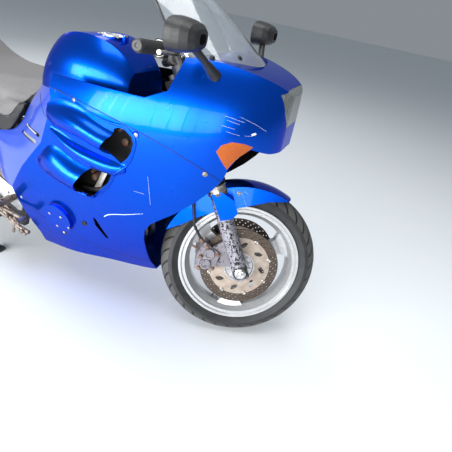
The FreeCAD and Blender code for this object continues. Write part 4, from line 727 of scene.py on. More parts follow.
# columns: x and z in millimetres, radius and height of the head
PANEL_SCREWS = [(-95, 714, 0.0058, 0.0032), (-542, 826, 0.0048, 0.0024), (-838, 372, 0.0048, 0.0024),
                (-306, 786, 0.0045, 0.0022)]
SCREW_WELL = (-306, 786)
POD_SCREWS = [(-686, 364), (-634, 366), (-664, 311), (-608, 324)]
POD_MIDDLE, POD_RADIUS = (-655, 352), 60.4
BELLY_BOLT = (-662, 266)
PLUG_HOLE = [(-552, 366), (-549, 371), (-544, 372), (-541, 375), (-535, 376), (-531, 370), (-536, 365), (-538, 360),
             (-544, 358), (-548, 362), (-552, 366)]
for side, side_name in SIDES:
    panel = node["side_fairing_" + side_name]
    heads = [button_screw(skin(panel, x, z, side), radius, height) for x, z, radius, height in PANEL_SCREWS]
    off_pod = Vector((0, side, -0.25)).normalized()
    heads += [button_screw((skin(node["engine_cover_pods"], x, z, side)[0], off_pod), 0.0042, 0.002)
              for x, z in POD_SCREWS]
    belly_spot = skin(node["belly_pan"], *BELLY_BOLT, side)
    heads.append(button_screw(belly_spot, 0.0065, 0.004))
    settled(joined(heads), "fairing_screws_" + side_name, "chassis", zinc)
    well = turned([(0.0068, -0.0012), (0.0086, 0.0006), (0.0104, 0.0012), (0.0118, 0.0002), (0.0118, -0.0015),
                   (0.0068, -0.0018)], 36)
    settled(well, "screw_well_" + side_name, "chassis", solid_paint,
            outward(*skin(panel, *SCREW_WELL, side)))
    # painted shade: a dark bar round the cover pod, where it meets the panel
    pod_rim = [(POD_MIDDLE[0] + POD_RADIUS * math.cos(0.1 * turn), POD_MIDDLE[1] + POD_RADIUS * math.sin(0.1 * turn))
               for turn in range(64)]
    recess = turned([(0.0, -0.001), (0.0125, -0.001), (0.0118, 0.0008), (0.0, 0.0008)], 24)
    torn_edge = bar(along_skin(panel, PLUG_HOLE, side, -0.0003, 0), 0.0035)
    torn_middle = turned([(0.0, -0.001), (0.0075, -0.001), (0.0075, 0.0012), (0.0, 0.0012)], 9)
    settled(joined([bar(along_skin(panel, pod_rim, side, 0.0006, 0), 0.0016), moved(recess, outward(*belly_spot)),
                    torn_edge, moved(torn_middle, outward(*skin(panel, -542, 367, side)))]),
            "fairing_holes_and_pod_shade_" + side_name, "chassis", line_black)


# Pale bar on the right panel: a painted highlight along a fold in the plastic, where
# the light catches it; fine scratches lie below the screw well.
painted_highlight_and_hairline_white = finish("painted_highlight_and_hairline_white", (0.55, 0.75, 0.95), (0.75, 0.85, 0.95), 900, (0.5, 0.7), 0.2, wear=0.6)
CREASE_HIGHLIGHT = [(-442, 441), (-425, 458), (-398, 471), (-360, 484), (-325, 499), (-281, 518)]
SCRATCHES = [[(-262, 668), (-258, 640), (-256, 600), (-253, 560)], [(-310, 598), (-290, 600), (-272, 598)]]


def highlight_width(share):
    """Broad near the start of the painted highlight and fading out."""
    return 0.25 + 1.1 * min(1.0, 8 * share) * (1 - 0.75 * share)


panel = node["side_fairing_right"]
# painted highlight: a pale bar where light catches the fold of the panel
crease_highlight = bar(along_skin(panel, CREASE_HIGHLIGHT, -1, 0.0008), 0.0018, highlight_width)
fine_lines = [bar(along_skin(panel, line, -1, 0.0002), 0.0004, tapered) for line in SCRATCHES]
settled(joined([crease_highlight] + fine_lines), "fairing_crease_highlight_and_scratches", "chassis", painted_highlight_and_hairline_white)


# Side covers: moulded panels that lean in from the fairing's rear edge to the
# seat, in an azure paler and more violet than the fairing's, partly dust and partly a painted sheen of the pale
# surroundings, with two long slots each, lined behind, and a dark bar at the front painted as the shade of the shut
# line.
def smooth_along(stations, share):
    """A place at a share of the way along stations, on a smooth line through them."""
    spot = share * (len(stations) - 1)
    index = min(int(spot), len(stations) - 2)
    part_way = spot - index
    before, here, there, after = (Vector(stations[min(max(index + offset, 0), len(stations) - 1)])
                                  for offset in (-1, 0, 1, 2))
    return 0.5 * ((2 * here) + (there - before) * part_way
                  + (2 * before - 5 * here + 4 * there - after) * part_way ** 2
                  + (3 * here - before - 3 * there + after) * part_way ** 3)


def thickened(piece, thickness, rim=0.0006):
    """A sheet given its thickness, with its edges softened."""
    altered(piece, "SOLIDIFY", thickness=thickness, offset=0.0)
    if rim:
        altered(piece, "BEVEL", width=rim, segments=2, limit_method="ANGLE", angle_limit=math.radians(40))
    bpy.ops.object.mode_set(mode="EDIT")
    bpy.ops.mesh.select_all(action="SELECT")
    bpy.ops.mesh.normals_make_consistent(inside=False)
    bpy.ops.object.mode_set(mode="OBJECT")
    bpy.ops.object.shade_smooth_by_angle(angle=SMOOTH_BELOW)
    return piece


def sheet(corners, thickness, rim=0.0006):
    """A plate whose outline runs through the corners."""
    made = fresh(bpy.ops.mesh.primitive_circle_add, vertices=len(corners), fill_type="NGON")
    for point, corner in zip(made.data.vertices, corners):
        point.co = corner
    return thickened(made, thickness, rim)


def cut_sheet(outline, y, thickness, side, rim=0.0006):
    """A plate cut to an outline of x and z in millimetres, standing beside the machine."""
    return sheet([at(x / 1000, side * y, z / 1000) for x, z in outline], thickness, rim)


def grid(columns, rows, place_of):
    """A sheet of faces whose points lie where place_of puts each pair of shares from -1 to 1."""
    made = fresh(bpy.ops.mesh.primitive_grid_add, x_subdivisions=columns, y_subdivisions=rows, size=2)
    for point in made.data.vertices:
        point.co = place_of(point.co.x, point.co.y)
    return made


# in millimetres: x, z, y of the front edge, tucked under the fairing, and of the edge under the seat
COVER_FRONT = [(-622, 838, 258), (-630, 765, 268), (-655, 680, 267), (-700, 612, 261), (-765, 535, 250),
               (-832, 455, 238), (-864, 398, 231)]
COVER_REAR = [(-775, 806, 158), (-822, 728, 170), (-864, 655, 173), (-910, 612, 175), (-985, 585, 181),
              (-1003, 520, 184), (-985, 428, 187)]
COVER_BULGE = 9
UPPER_SLOT = [(-818, 659), (-813, 667), (-806, 669), (-706, 669), (-702, 664), (-709, 655)]
LOWER_SLOT = [(-832, 628), (-828, 637), (-821, 640), (-725, 640), (-721, 635), (-730, 624)]
COVER_JOINT = [(-742, 790), (-720, 775), (-690, 752), (-660, 735), (-640, 728)]
# painted sheen: the tone is paler and more violet, partly for dust and partly for the reflection of pale surroundings
dusty_and_sheen_paint = finish("azure_paint_dusty_with_sheen", (0.03, 0.085, 0.62), (0.06, 0.12, 0.66), 120, (0.3, 0.36), 0.0, 0.3, 1.0,
                     0.8)
feed(dusty_and_sheen_paint, shader_of(dusty_and_sheen_paint), {"Coat IOR": 1.35})
slot_grey = finish("slot_liner_grey", (0.3, 0.3, 0.31), (0.24, 0.24, 0.25), 500, (0.5, 0.6), 0.1)
# columns: use, slot, depth under the skin in metres, how much wider than the slot in millimetres, material
LINERS = [("upper", UPPER_SLOT, 0.009, 7, line_black), ("lower", LOWER_SLOT, 0.009, 7, line_black),
          ("foam", LOWER_SLOT, 0.005, -1, slot_grey)]


def widened(outline, grown):
    """An outline whose corners have moved away from its middle."""
    middle_x, middle_z = (sum(each) / len(outline) for each in zip(*outline))
    wider = []
    for x, z in outline:
        away = math.hypot(x - middle_x, z - middle_z)
        wider.append((x + grown * (x - middle_x) / away, z + grown * (z - middle_z) / away))
    return wider


for side, side_name in SIDES:
    def on_cover(right, up):
        over, down = (right + 1) / 2, (1 - up) / 2
        x, z, y = smooth_along(COVER_FRONT, down).lerp(smooth_along(COVER_REAR, down), over)
        return mm(x, side * (y + COVER_BULGE * math.sin(math.pi * over)), z)

    cover = thickened(grid(18, 24, on_cover), 0.0032, 0.0008)
    bpy.context.view_layer.update()
    for use, slot, depth, grown, material in LINERS:
        corners = [skin(cover, x, z, side, depth)[0] for x, z in widened(slot, grown)]
        settled(sheet(corners, 0.001, 0.0002), "slot_liner_%s_%s" % (use, side_name), "chassis", material)
    bored(cover, [cut_sheet(slot, 0.25, 0.14, side, 0.004) for slot in (UPPER_SLOT, LOWER_SLOT)])
    # painted shade: a dark bar along the gap at the cover's front
    joint_line = bar(along_skin(cover, COVER_JOINT, side, 0.0003, 2), 0.0012)
    settled(joint_line, "side_cover_joint_shade_" + side_name, "chassis", line_black)
    settled(cover, "side_cover_panel_" + side_name, "chassis", dusty_and_sheen_paint)
    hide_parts("side_cover_" + side_name)


# Seat: a stepped dual seat of foam under grey grained vinyl, with black vinyl
# round its skirts, welted where the two meet.
# columns: x and z in millimetres of the line between black skirt and grey top
SEAT_WELT = [(-835, 792), (-862, 742), (-889, 690), (-925, 656), (-975, 655), (-1040, 700), (-1120, 722),
             (-1190, 740), (-1250, 776), (-1300, 796), (-1450, 822), (-1560, 838), (-1650, 846)]
SEAT_SWELL = 0.009
STUFFING_FRAMES = 20
SKIRT_BLEND = 0.003


def welt_height(x):
    """The height of the welt at a place along the seat, both in millimetres."""
    for (ahead, high), (behind, low) in zip(SEAT_WELT, SEAT_WELT[1:]):
        if ahead >= x >= behind:
            return high + (low - high) * (x - ahead) / (behind - ahead)
    return SEAT_WELT[0][1] if x > SEAT_WELT[0][0] else SEAT_WELT[-1][1]


cushion = selected(twin(node["seat"]))
bpy.ops.object.mode_set(mode="EDIT")
bpy.ops.mesh.select_all(action="SELECT")
bpy.ops.mesh.remove_doubles(threshold=1e-5)
bpy.ops.object.mode_set(mode="OBJECT")
cushion.data.remesh_voxel_size = 0.0065
cushion.data.remesh_voxel_adaptivity = 0.0
bpy.ops.object.voxel_remesh()
altered(cushion, "DISPLACE", strength=-0.004, mid_level=0.0)
altered(cushion, "SMOOTH", factor=0.5, iterations=6)
before = [point.co.copy() for point in cushion.data.vertices]
cloth = cushion.modifiers.new("stuffing", "CLOTH")
cloth.settings.quality = 4
cloth.settings.use_pressure = True
cloth.settings.uniform_pressure_force = 4
cloth.settings.effector_weights.gravity = 0
cloth.collision_settings.use_collision = False
cloth.point_cache.frame_start = 1
cloth.point_cache.frame_end = STUFFING_FRAMES
for moment in range(1, STUFFING_FRAMES + 1):
    bpy.context.scene.frame_set(moment)
bpy.ops.object.modifier_apply(modifier="stuffing")
bpy.context.scene.frame_set(1)
for point, home in zip(cushion.data.vertices, before):
    swell = point.co - home
    if swell.length > SEAT_SWELL:
        point.co = home + swell * (SEAT_SWELL / swell.length)
altered(cushion, "SUBSURF", levels=1, render_levels=1)
bpy.ops.object.shade_smooth()
skirt = cushion.data.color_attributes.new("skirt", "FLOAT_COLOR", "POINT")
for point, shade in zip(cushion.data.vertices, skirt.data):
    beside = point.co - under_axle
    below = welt_height(beside.x * 1000) / 1000 - beside.z
    black = min(1.0, max(0.0, 0.5 + below / SKIRT_BLEND))
    shade.color = (black, black, black, 1)
seat_vinyl = finish("seat_vinyl", (0.13, 0.125, 0.125), (0.17, 0.165, 0.165), 1500, (0.5, 0.62), 0.45, wear=0.7)
where_black = step(seat_vinyl, "Attribute", {}, attribute_name="skirt")
overlay(seat_vinyl, where_black.outputs["Fac"], (0.009, 0.009, 0.01))
settled(cushion, "seat_cushion", "chassis", seat_vinyl)
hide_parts("seat")
welt_black = finish("welt_black", (0.01, 0.01, 0.011), (0.02, 0.02, 0.021), 900, (0.4, 0.5), 0.3)
bpy.context.view_layer.update()
for side, side_name in SIDES:
    welt = bar(along_skin(cushion, SEAT_WELT[1:], side, 0.0006, 2), 0.0024)
    settled(welt, "seat_welt_" + side_name, "chassis", welt_black)


# Foot controls: a pale cast heel plate each side with one hole, rusty pegs, a
# rusty pedal linkage, and sleeves with ridges on the pegs.
HEEL_PLATE = [(-1052, 452), (-1000, 398), (-978, 388), (-923, 367), (-882, 336), (-878, 322), (-890, 276),
              (-910, 272), (-948, 290), (-985, 306), (-1010, 318), (-1030, 352), (-1062, 405)]
HEEL_PLATE_Y = 0.186
cast_white = finish("heel_plate_silver", (0.72, 0.74, 0.76), (0.55, 0.56, 0.57), 700, (0.3, 0.45), 0.15, 0.35,
                    wear=0.6)
peg_rubber = finish("peg_rubber", (0.014, 0.014, 0.015), (0.03, 0.03, 0.03), 600, (0.6, 0.75), 0.3)
old_steel = patched(finish("old_brown_steel", (0.2, 0.155, 0.13), (0.42, 0.37, 0.33), 300, (0.35, 0.6), 0.3, 0.6,
                           wear=0.5), 80, 0.55, (0.05, 0.032, 0.026))
clad(old_steel, "footpeg_hanger_right", "footpeg_hanger_left")
# columns: name, x and z in millimetres, inner and outer end, radius over and under the ridges, material, slot
PEG_SLEEVES = [("rider", -918, 331, 0.212, 0.312, 0.0158, 0.0128, old_steel, "steel_pin"),
               ("passenger", -1110, 556, 0.205, 0.29, 0.0146, 0.0118, peg_rubber, "black_rubber")]
SLEEVE_RIDGES = 11
# each rod's x, z, y in millimetres, and its radius
LINKAGE = [([(-1018, 268, 205), (-985, 262, 206), (-944, 242, 206), (-910, 214, 205), (-880, 200, 204),
             (-842, 196, 204)], 0.0085),
           ([(-1000, 322, 200), (-985, 292, 210), (-960, 280, 212), (-935, 288, 212), (-915, 274, 212),
             (-896, 248, 210)], 0.0065),
           ([(-1010, 236, 196), (-960, 214, 196), (-905, 180, 196), (-868, 172, 196)], 0.006),
           ([(-930, 232, 190), (-926, 205, 200), (-930, 178, 200), (-934, 160, 200)], 0.006)]
BOSSES = [(-944, 242, 214, 0.0105), (-896, 248, 216, 0.009), (-868, 197, 212, 0.0095), (-1000, 264, 212, 0.009)]


def beside_machine(side, places):
    """Places told as x, z, y in millimetres, on one side of the machine."""
    return [mm(x, side * y, z) for x, z, y in places]


for side, side_name in SIDES:
    plate = cut_sheet(HEEL_PLATE, HEEL_PLATE_Y, 0.0055, side, 0.0016)
    bored(plate, [moved(plug(0.0058, 0.03, 20), shift(at(-0.951, side * HEEL_PLATE_Y, 0.338)) @ ALONG_AXLE)])
    settled(plate, "heel_plate_" + side_name, "chassis", cast_white)
    for name, x, z, inner, outer, over, core, material, slot in PEG_SLEEVES:
        ridges, ridge = [(core, inner)], (outer - inner) / SLEEVE_RIDGES
        for index in range(SLEEVE_RIDGES):
            start = inner + index * ridge
            ridges += [(over, start), (over, start + ridge * 0.62), (over - 0.0016, start + ridge * 0.7),
                       (over - 0.0016, start + ridge * 0.96)]
        sleeve = moved(turned(ridges + [(core, outer)], 28),
                       shift(mm(x, 0, z)) @ Matrix.Diagonal((1, side, 1, 1)) @ ALONG_AXLE)
        settled(sleeve, "%s_peg_sleeve_%s" % (name, side_name), "chassis", material)
    rods = [bar(beside_machine(side, run), radius) for run, radius in LINKAGE]
    rods += [crosswise(mm(x, side * y, z), radius, 0.016, 6) for x, z, y, radius in BOSSES]
    settled(joined(rods), "pedal_linkage_" + side_name, "chassis", old_steel)


# Sill: a black rubber strip each side that closes the gap between the tail panel's
# upper edge and the seat.
# columns: x, z, y of the outer edge, y of the inner edge, in millimetres
SILL = [(-1008, 686, 193, 150), (-1075, 694, 191, 135), (-1150, 709, 186, 136), (-1225, 721, 182, 120),
        (-1300, 741, 175, 100), (-1375, 757, 168, 95), (-1450, 769, 162, 105), (-1525, 777, 156, 120),
        (-1600, 788, 146, 110), (-1660, 798, 128, 90)]
SILL_BULGE = 5
for side, side_name in SIDES:
    def on_sill(right, up):
        along, over = (right + 1) / 2, (up + 1) / 2
        x, z, outer, inner = smooth_along(SILL, along)
        return mm(x, side * (outer + (inner - outer) * over), z + SILL_BULGE * math.sin(math.pi * over))

    strip = thickened(grid(4 * (len(SILL) - 1), 4, on_sill), 0.002, 0.0004)
    settled(strip, "seat_sill_" + side_name, "chassis", welt_black)


# Behind the vents: a black heat shield, a silver bracket, a hose with its rusty
# union, and bolts, which show through the two openings. The mudguard of the rear
# wheel is of the shield's unpainted black.
shield_black = finish("heat_shield_black", (0.008, 0.008, 0.008), (0.02, 0.019, 0.018), 300, (0.5, 0.7), 0.3)
clad(shield_black, "rear_mudguard")
bracket_silver = finish("bracket_silver", (0.62, 0.61, 0.58), (0.4, 0.37, 0.33), 420, (0.3, 0.5), 0.2, 0.6, wear=0.5)
VENT_SHIELD = [(-280, 808), (-285, 650), (-352, 548), (-430, 492), (-568, 474), (-630, 560), (-630, 700),
               (-560, 808)]
BRACKET = [(-474, 600), (-455, 592), (-492, 505), (-512, 512)]
VENT_HOSE = [(-560, 500, 205), (-535, 508, 214), (-505, 516, 218), (-470, 528, 214), (-440, 560, 205)]
# columns: x, z, y in millimetres, radius, length, sides
VENT_FITTINGS = [(-509, 560, 200, 0.011, 0.03, 20), (-522, 576, 198, 0.0065, 0.022, 6),
                 (-419, 751, 200, 0.0065, 0.016, 6), (-396, 772, 200, 0.008, 0.02, 6),
                 (-400, 716, 198, 0.012, 0.012, 20)]
for side, side_name in SIDES:
    settled(cut_sheet(VENT_SHIELD, 0.186, 0.003, side), "vent_shield_" + side_name, "chassis", shield_black)
    settled(cut_sheet(BRACKET, 0.213, 0.004, side, 0.0012), "vent_bracket_" + side_name, "chassis", bracket_silver)
    settled(bar(beside_machine(side, VENT_HOSE), 0.0085), "vent_hose_" + side_name, "chassis", hose_rubber)
    fittings = [crosswise(mm(x, side * y, z), radius, length, sides)
                for x, z, y, radius, length, sides in VENT_FITTINGS]
    settled(joined(fittings), "vent_fittings_" + side_name, "chassis", rusty_steel)


# Nose: hairline scratches and one chip down to the white primer on the right
# side, where the panel has rubbed along something.
NOSE_SCRATCHES = [[(-71, 893), (-45, 888), (-19, 882)], [(-64, 883), (-47, 879), (-29, 875)],
                  [(-37, 897), (5, 882), (22, 871), (36, 862)], [(-75, 867), (-57, 864), (-39, 861)],
                  [(-60, 852), (-40, 848), (-24, 845)], [(-13, 846), (-2, 846), (8, 847)]]
CHIP = [(2, 851), (7, 855), (12, 857), (15, 853), (11, 849), (5, 848)]
primer_white = finish("primer_white", (0.8, 0.83, 0.85), (0.7, 0.75, 0.8), 900, (0.5, 0.7), 0.2)
nose = node["upper_fairing"]
marks = [bar(along_skin(nose, line, -1, 0.00005), 0.00028, tapered) for line in NOSE_SCRATCHES]
chip = sheet([skin(nose, x, z, -1)[0] for x, z in CHIP], 0.0008, 0.0002)
settled(joined(marks + [chip]), "nose_scratches", "chassis", primer_white)


# Front mudguard's wear: a zinc screw through each flap, and hairline cracks in
# the paint round it.
FENDER_CRACKS = [[(-55, 587), (-50, 576), (-44, 568), (-39, 561)], [(-39, 561), (-37, 552), (-30, 546), (-25, 536)],
                 [(-48, 590), (-36, 584), (-28, 582)], [(-86, 590), (-80, 576), (-77, 566)]]
FENDER_SCREW = (-62, 578)


def beside_wheel(x, z, side, sunk=0.0):
    """A place on the steered mudguard's skin, told as the wheel stands straight ahead, and the way it faces."""
    aim = (steered.to_3x3() @ Vector((0, -side, 0))).normalized()
    return hit(node["front_fender"], steered @ at(x / 1000, side * 0.4, z / 1000), aim, sunk)


for side, side_name in SIDES:
    cracks = []
    for line in FENDER_CRACKS:
        places = [beside_wheel(x, z, side, 0.0002)[0] for x, z in rounded(line, 1)]
        places = [place for place in places if place]
        if len(places) > 4:
            cracks.append(bar(places, 0.0005, tapered))
    settled(joined(cracks), "fender_cracks_" + side_name, "steering", painted_highlight_and_hairline_white)
    settled(button_screw(beside_wheel(*FENDER_SCREW, side), 0.0058, 0.003), "fender_screw_" + side_name, "steering",
            zinc)


# Headlamp: a bright pressed bowl with a bulb in a chromed shade behind the clear,
# fluted lens.
def flutes(made, axis, spacing, strength):
    """Fine ribs moulded in a lens, across an axis."""
    place = step(made, "TexCoord", {}).outputs["Object"]
    across = step(made, "VectorMath", {0: place, 1: axis}, operation="DOT_PRODUCT").outputs["Value"]
    wave = reckon(made, "SINE", reckon(made, "MULTIPLY", across, 2 * math.pi / spacing))
    return embossed(made, wave, strength, spacing / 4)


def glassy(name, tone, clear):
    made = finish(name, tone, tone, 300, (0.04, 0.07), 0.01, 0.0, 0.5)
    feed(made, shader_of(made), {"Transmission Weight": clear})
    return made


lens_clear = flutes(glassy("headlamp_lens_clear", (0.78, 0.82, 0.8), 0.88), (0, 1, 0), 0.011, 0.35)
clad(lens_clear, "headlamp_lens")
bowl_bright = finish("reflector_bright", (0.8, 0.8, 0.8), (0.7, 0.7, 0.7), 300, (0.05, 0.12), 0.02, 1.0)
bowl = moved(turned([(0.008, -0.05), (0.02, -0.045), (0.03, -0.025), (0.0345, 0.004), (0.0355, 0.004),
                     (0.031, -0.027), (0.021, -0.047), (0.008, -0.052)], 64), Matrix.Diagonal((1, 2.15, 1, 1)))
bulb = turned([(0.0, 0.012), (0.006, 0.01), (0.008, 0.004), (0.008, -0.03), (0.012, -0.032), (0.012, -0.05),
               (0.0, -0.05)], 24)
settled(joined([bowl, bulb]), "headlamp_reflector", "chassis", bowl_bright,
        shift(at(0.016, 0, 0.914)) @ spin(math.pi / 2, "Y"))


# Indicators and tail lamp: orange lenses with ribs moulded inside along their
# length in the nose, round ones on black rubber stalks behind, and a ribbed red
# lens in the tail.
STALK_BLACK, STALK_END = (0.012, 0.012, 0.013), 0.187


def amber(name):
    return finish(name, (0.62, 0.14, 0.003), (0.4, 0.06, 0.001), 130, (0.12, 0.2), 0.03, 0.0, 0.35, 0.6)


amber_ribbed = flutes(amber("amber_lens_ribbed"), (0.25, 0.3, 1.0), 0.0062, 0.6)
clad(amber_ribbed, "front_indicators")
amber_round = flutes(amber("amber_lens_round"), (0.0, 0.0, 1.0), 0.005, 0.5)
in_machine = step(amber_round, "SeparateXYZ", {0: step(amber_round, "TexCoord", {}).outputs["Object"]})
on_stalk = reckon(amber_round, "LESS_THAN", reckon(amber_round, "ABSOLUTE", in_machine.outputs["Y"]), STALK_END)
overlay(amber_round, on_stalk, STALK_BLACK)
clad(amber_round, "rear_indicators")
red_ribbed = flutes(finish("red_lens_ribbed", (0.42, 0.008, 0.008), (0.3, 0.004, 0.004), 200, (0.1, 0.18), 0.03,
                           0.0, 1.0, 0.6), (0.0, 0.0, 1.0), 0.009, 0.5)
clad(red_ribbed, "tail_lamp")


# Windscreen: a clear bent sheet with a black rubber edging, on black screws.
# in millimetres, the left half of the edge from the foot to the middle of the top
SCREEN_EDGE = [(-232, 186, 985), (-262, 185, 1035), (-300, 182, 1080), (-336, 172, 1122), (-372, 160, 1160),
               (-394, 140, 1190), (-408, 118, 1212), (-376, 84, 1212), (-350, 48, 1212), (-340, 0, 1212)]
SCREEN_SCREWS = [(-215, 1008), (-160, 1022), (-105, 1030)]
edge_line = [mm(x, y, z) for x, y, z in SCREEN_EDGE] + [mm(x, -y, z) for x, y, z in SCREEN_EDGE[-2::-1]]
settled(bar(edge_line, 0.0034), "windscreen_edging", "chassis", welt_black)
spots = [skin(node["windscreen"], x, z, side) for side, _ in SIDES for x, z in SCREEN_SCREWS]
base_screws = [button_screw(spot, 0.006, 0.003) for spot in spots if spot[0]]
settled(joined(base_screws), "windscreen_screws", "chassis", clamp_black)


# Bars, seen from the saddle: rubber grips with rings and a closed end, weights in
# the bar ends, switch boxes with their keys, and the two fluid reservoirs.
grip_rubber = finish("grip_rubber", (0.012, 0.012, 0.012), (0.026, 0.026, 0.026), 800, (0.6, 0.8), 0.4)
box_plastic = finish("switch_box_plastic", (0.014, 0.014, 0.015), (0.03, 0.03, 0.03), 1100, (0.4, 0.55), 0.3)
switch_red = finish("switch_red", (0.42, 0.012, 0.008), (0.3, 0.01, 0.006), 700, (0.35, 0.5), 0.1)
reservoir_clear = glassy("reservoir_plastic", (0.72, 0.62, 0.38), 0.4)
BAR_ROOT_UP_FORK = 0.7193
GRIP_RINGS, GRIP_RING_STEP = 26, 0.0042
SWITCH_BOX_AT, RESERVOIR_AT = 0.106, 0.072
SWITCHES = [(-0.009, 0.01), (0.007, 0.009), (-0.001, -0.01)]


def on_bar(side, along, offset=(0, 0, 0)):
    """A frame on a bar as it stands straight ahead, with Z running outward along it."""
    run = Vector((-0.30, side, -0.10)).normalized()
    root = front_axle + steer_axis * BAR_ROOT_UP_FORK + Vector((-0.03, side * 0.104, 0.045))
    return shift(root + run * along + Vector(offset)) @ run.to_track_quat("Z", "Y").to_matrix().to_4x4()


def slab(wide, deep, tall, rim, place):
    """A box with rounded edges."""
    box = moved(fresh(bpy.ops.mesh.primitive_cube_add, size=1), Matrix.Diagonal((wide, deep, tall, 1)))
    return moved(altered(box, "BEVEL", width=rim, segments=3), place)


for side, side_name in SIDES:
    bar_place = steered @ on_bar(side, 0)
    outline = [(0.0172, 0.13), (0.0205, 0.131), (0.0205, 0.1335)]
    for index in range(GRIP_RINGS):
        start = 0.1345 + GRIP_RING_STEP * index
        outline += [(0.0174, start), (0.0182, start + 0.0008), (0.0182, start + 0.0022), (0.0174, start + 0.003)]
    outline += [(0.0172, 0.246), (0.016, 0.2462), (0.016, 0.13), (0.0172, 0.13)]
    settled(turned(outline, 36), "grip_rings_" + side_name, "steering", grip_rubber, bar_place)
    weight = turned([(0.0, 0.249), (0.0125, 0.249), (0.0155, 0.2505), (0.0155, 0.2575), (0.013, 0.2595),
                     (0.006, 0.2595), (0.005, 0.2575), (0.0, 0.2575)], 36)
    settled(weight, "bar_end_weight_" + side_name, "steering", satin_black, bar_place)
    box_place = on_bar(side, SWITCH_BOX_AT)
    box = joined([slab(0.036, 0.05, 0.034, 0.006, box_place), slab(0.0372, 0.0512, 0.0014, 0.0005, box_place)])
    settled(box, "switch_box_" + side_name, "steering", box_plastic, steered)
    keys = [slab(0.008, 0.009, 0.008, 0.0015, on_bar(side, SWITCH_BOX_AT + along, (-0.0215, 0, up + 0.003)))
            for along, up in SWITCHES]
    settled(joined(keys), "switches_" + side_name, "steering", switch_red if side < 0 else grip_rubber,
            steered)
    cup = turned([(0.0, 0.0), (0.018, 0.0), (0.021, 0.002), (0.0225, 0.026), (0.0205, 0.028), (0.0, 0.028)], 36)
    lid = turned([(0.0, 0.0282), (0.024, 0.0282), (0.0248, 0.0295), (0.0248, 0.0345), (0.0235, 0.0362),
                  (0.0, 0.0362)], 36)
    stalk = moved(drum(0.0065, 0.05, 16), shift((0, 0, -0.012)))
    spot = steered @ shift(on_bar(side, RESERVOIR_AT, (0.05, 0, 0.022)).translation)
    settled(joined([stalk, lid]), "reservoir_lid_" + side_name, "steering", box_plastic, spot)
    settled(cup, "reservoir_" + side_name, "steering", reservoir_clear, spot)


# Mirrors: moulded black shells with a rounded back, each round a glass, on
# stems with a rubber boot at the fairing.
mirror_glass = finish("mirror_glass", (0.82, 0.85, 0.88), (0.8, 0.83, 0.86), 300, (0.01, 0.02), 0.0, 1.0)
MIRROR_Y, MIRROR_Z, MIRROR_POINTS = 305, 1078, 48
# columns: x, half width and half height of each loop from the back to the glass, in millimetres
MIRROR_LOOPS = [(-126, 18, 12), (-130, 34, 22), (-142, 50, 31), (-160, 61, 36.5), (-180, 66, 39), (-197, 66.5, 40.5),
                (-199, 64.5, 38.5), (-196.5, 63.5, 37.5)]
MIRROR_STEM = [(-130, 985, 196), (-141, 1010, 224), (-155, 1040, 262), (-168, 1066, 296)]
MIRROR_BOOT = [(-127, 981, 192), (-131, 988, 199), (-135, 996, 208), (-139, 1005, 218), (-143, 1013, 226)]


def mirror_loop(side, x, wide, tall):
    """A rounded oblong across the machine, as x, y, z in millimetres."""
    loop = []
    for index in range(MIRROR_POINTS):
        angle = 2 * math.pi * index / MIRROR_POINTS
        across, up = math.cos(angle), math.sin(angle)
        loop.append((x, side * MIRROR_Y + wide * math.copysign(abs(across) ** 0.6, across),
                     MIRROR_Z + tall * math.copysign(abs(up) ** 0.7, up)))
    return loop


boots = []
for side, side_name in SIDES:
    loops = [mirror_loop(side, *row) for row in MIRROR_LOOPS]
    back = fresh(bpy.ops.mesh.primitive_grid_add, x_subdivisions=MIRROR_POINTS, y_subdivisions=len(loops) - 1, size=1)
    for index, point in enumerate(back.data.vertices):
        row, column = divmod(index, MIRROR_POINTS + 1)
        point.co = mm(*loops[row][column % MIRROR_POINTS])
    bpy.ops.object.mode_set(mode="EDIT")
    bpy.ops.mesh.select_all(action="SELECT")
    bpy.ops.mesh.remove_doubles(threshold=0.0001)
    bpy.ops.mesh.select_all(action="DESELECT")
    bpy.ops.mesh.select_non_manifold()
    bpy.ops.mesh.fill()
    bpy.ops.mesh.select_all(action="SELECT")
    bpy.ops.mesh.normals_make_consistent(inside=False)
    bpy.ops.object.mode_set(mode="OBJECT")
    stem = bar(beside_machine(side, MIRROR_STEM), 0.0105)
    shell = settled(joined([back, stem]), "mirror_shell_" + side_name, "chassis", box_plastic)
    middle = side * MIRROR_Y
    pane = sheet([mm(-197.2, middle + (y - middle) * 0.985, MIRROR_Z + (z - MIRROR_Z) * 0.975)
                  for x, y, z in loops[-1]], 0.001, 0.0003)
    settled(pane, "mirror_glass_" + side_name, "chassis", mirror_glass)
    boots.append(bar(beside_machine(side, MIRROR_BOOT), 0.0125, lambda share: 1.5 - 0.55 * share))
settled(joined(boots), "mirror_boots", "chassis", welt_black)
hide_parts("mirrors")


# Instruments: black binnacle with two round dials, a small one and a strip of
# tell-tales, a pane over each dial; plain scales without lettering.
PANEL_UP = Vector((0.183, 0, 0.983)).normalized()
PANEL_OUT = Vector((-0.983, 0, 0.183)).normalized()
panel_place = shift(at(-0.2205, 0, 0.96)) @ Matrix((
    (0, PANEL_UP.x, PANEL_OUT.x, 0), (-1, PANEL_UP.y, PANEL_OUT.y, 0), (0, PANEL_UP.z, PANEL_OUT.z, 0), (0, 0, 0, 1)))
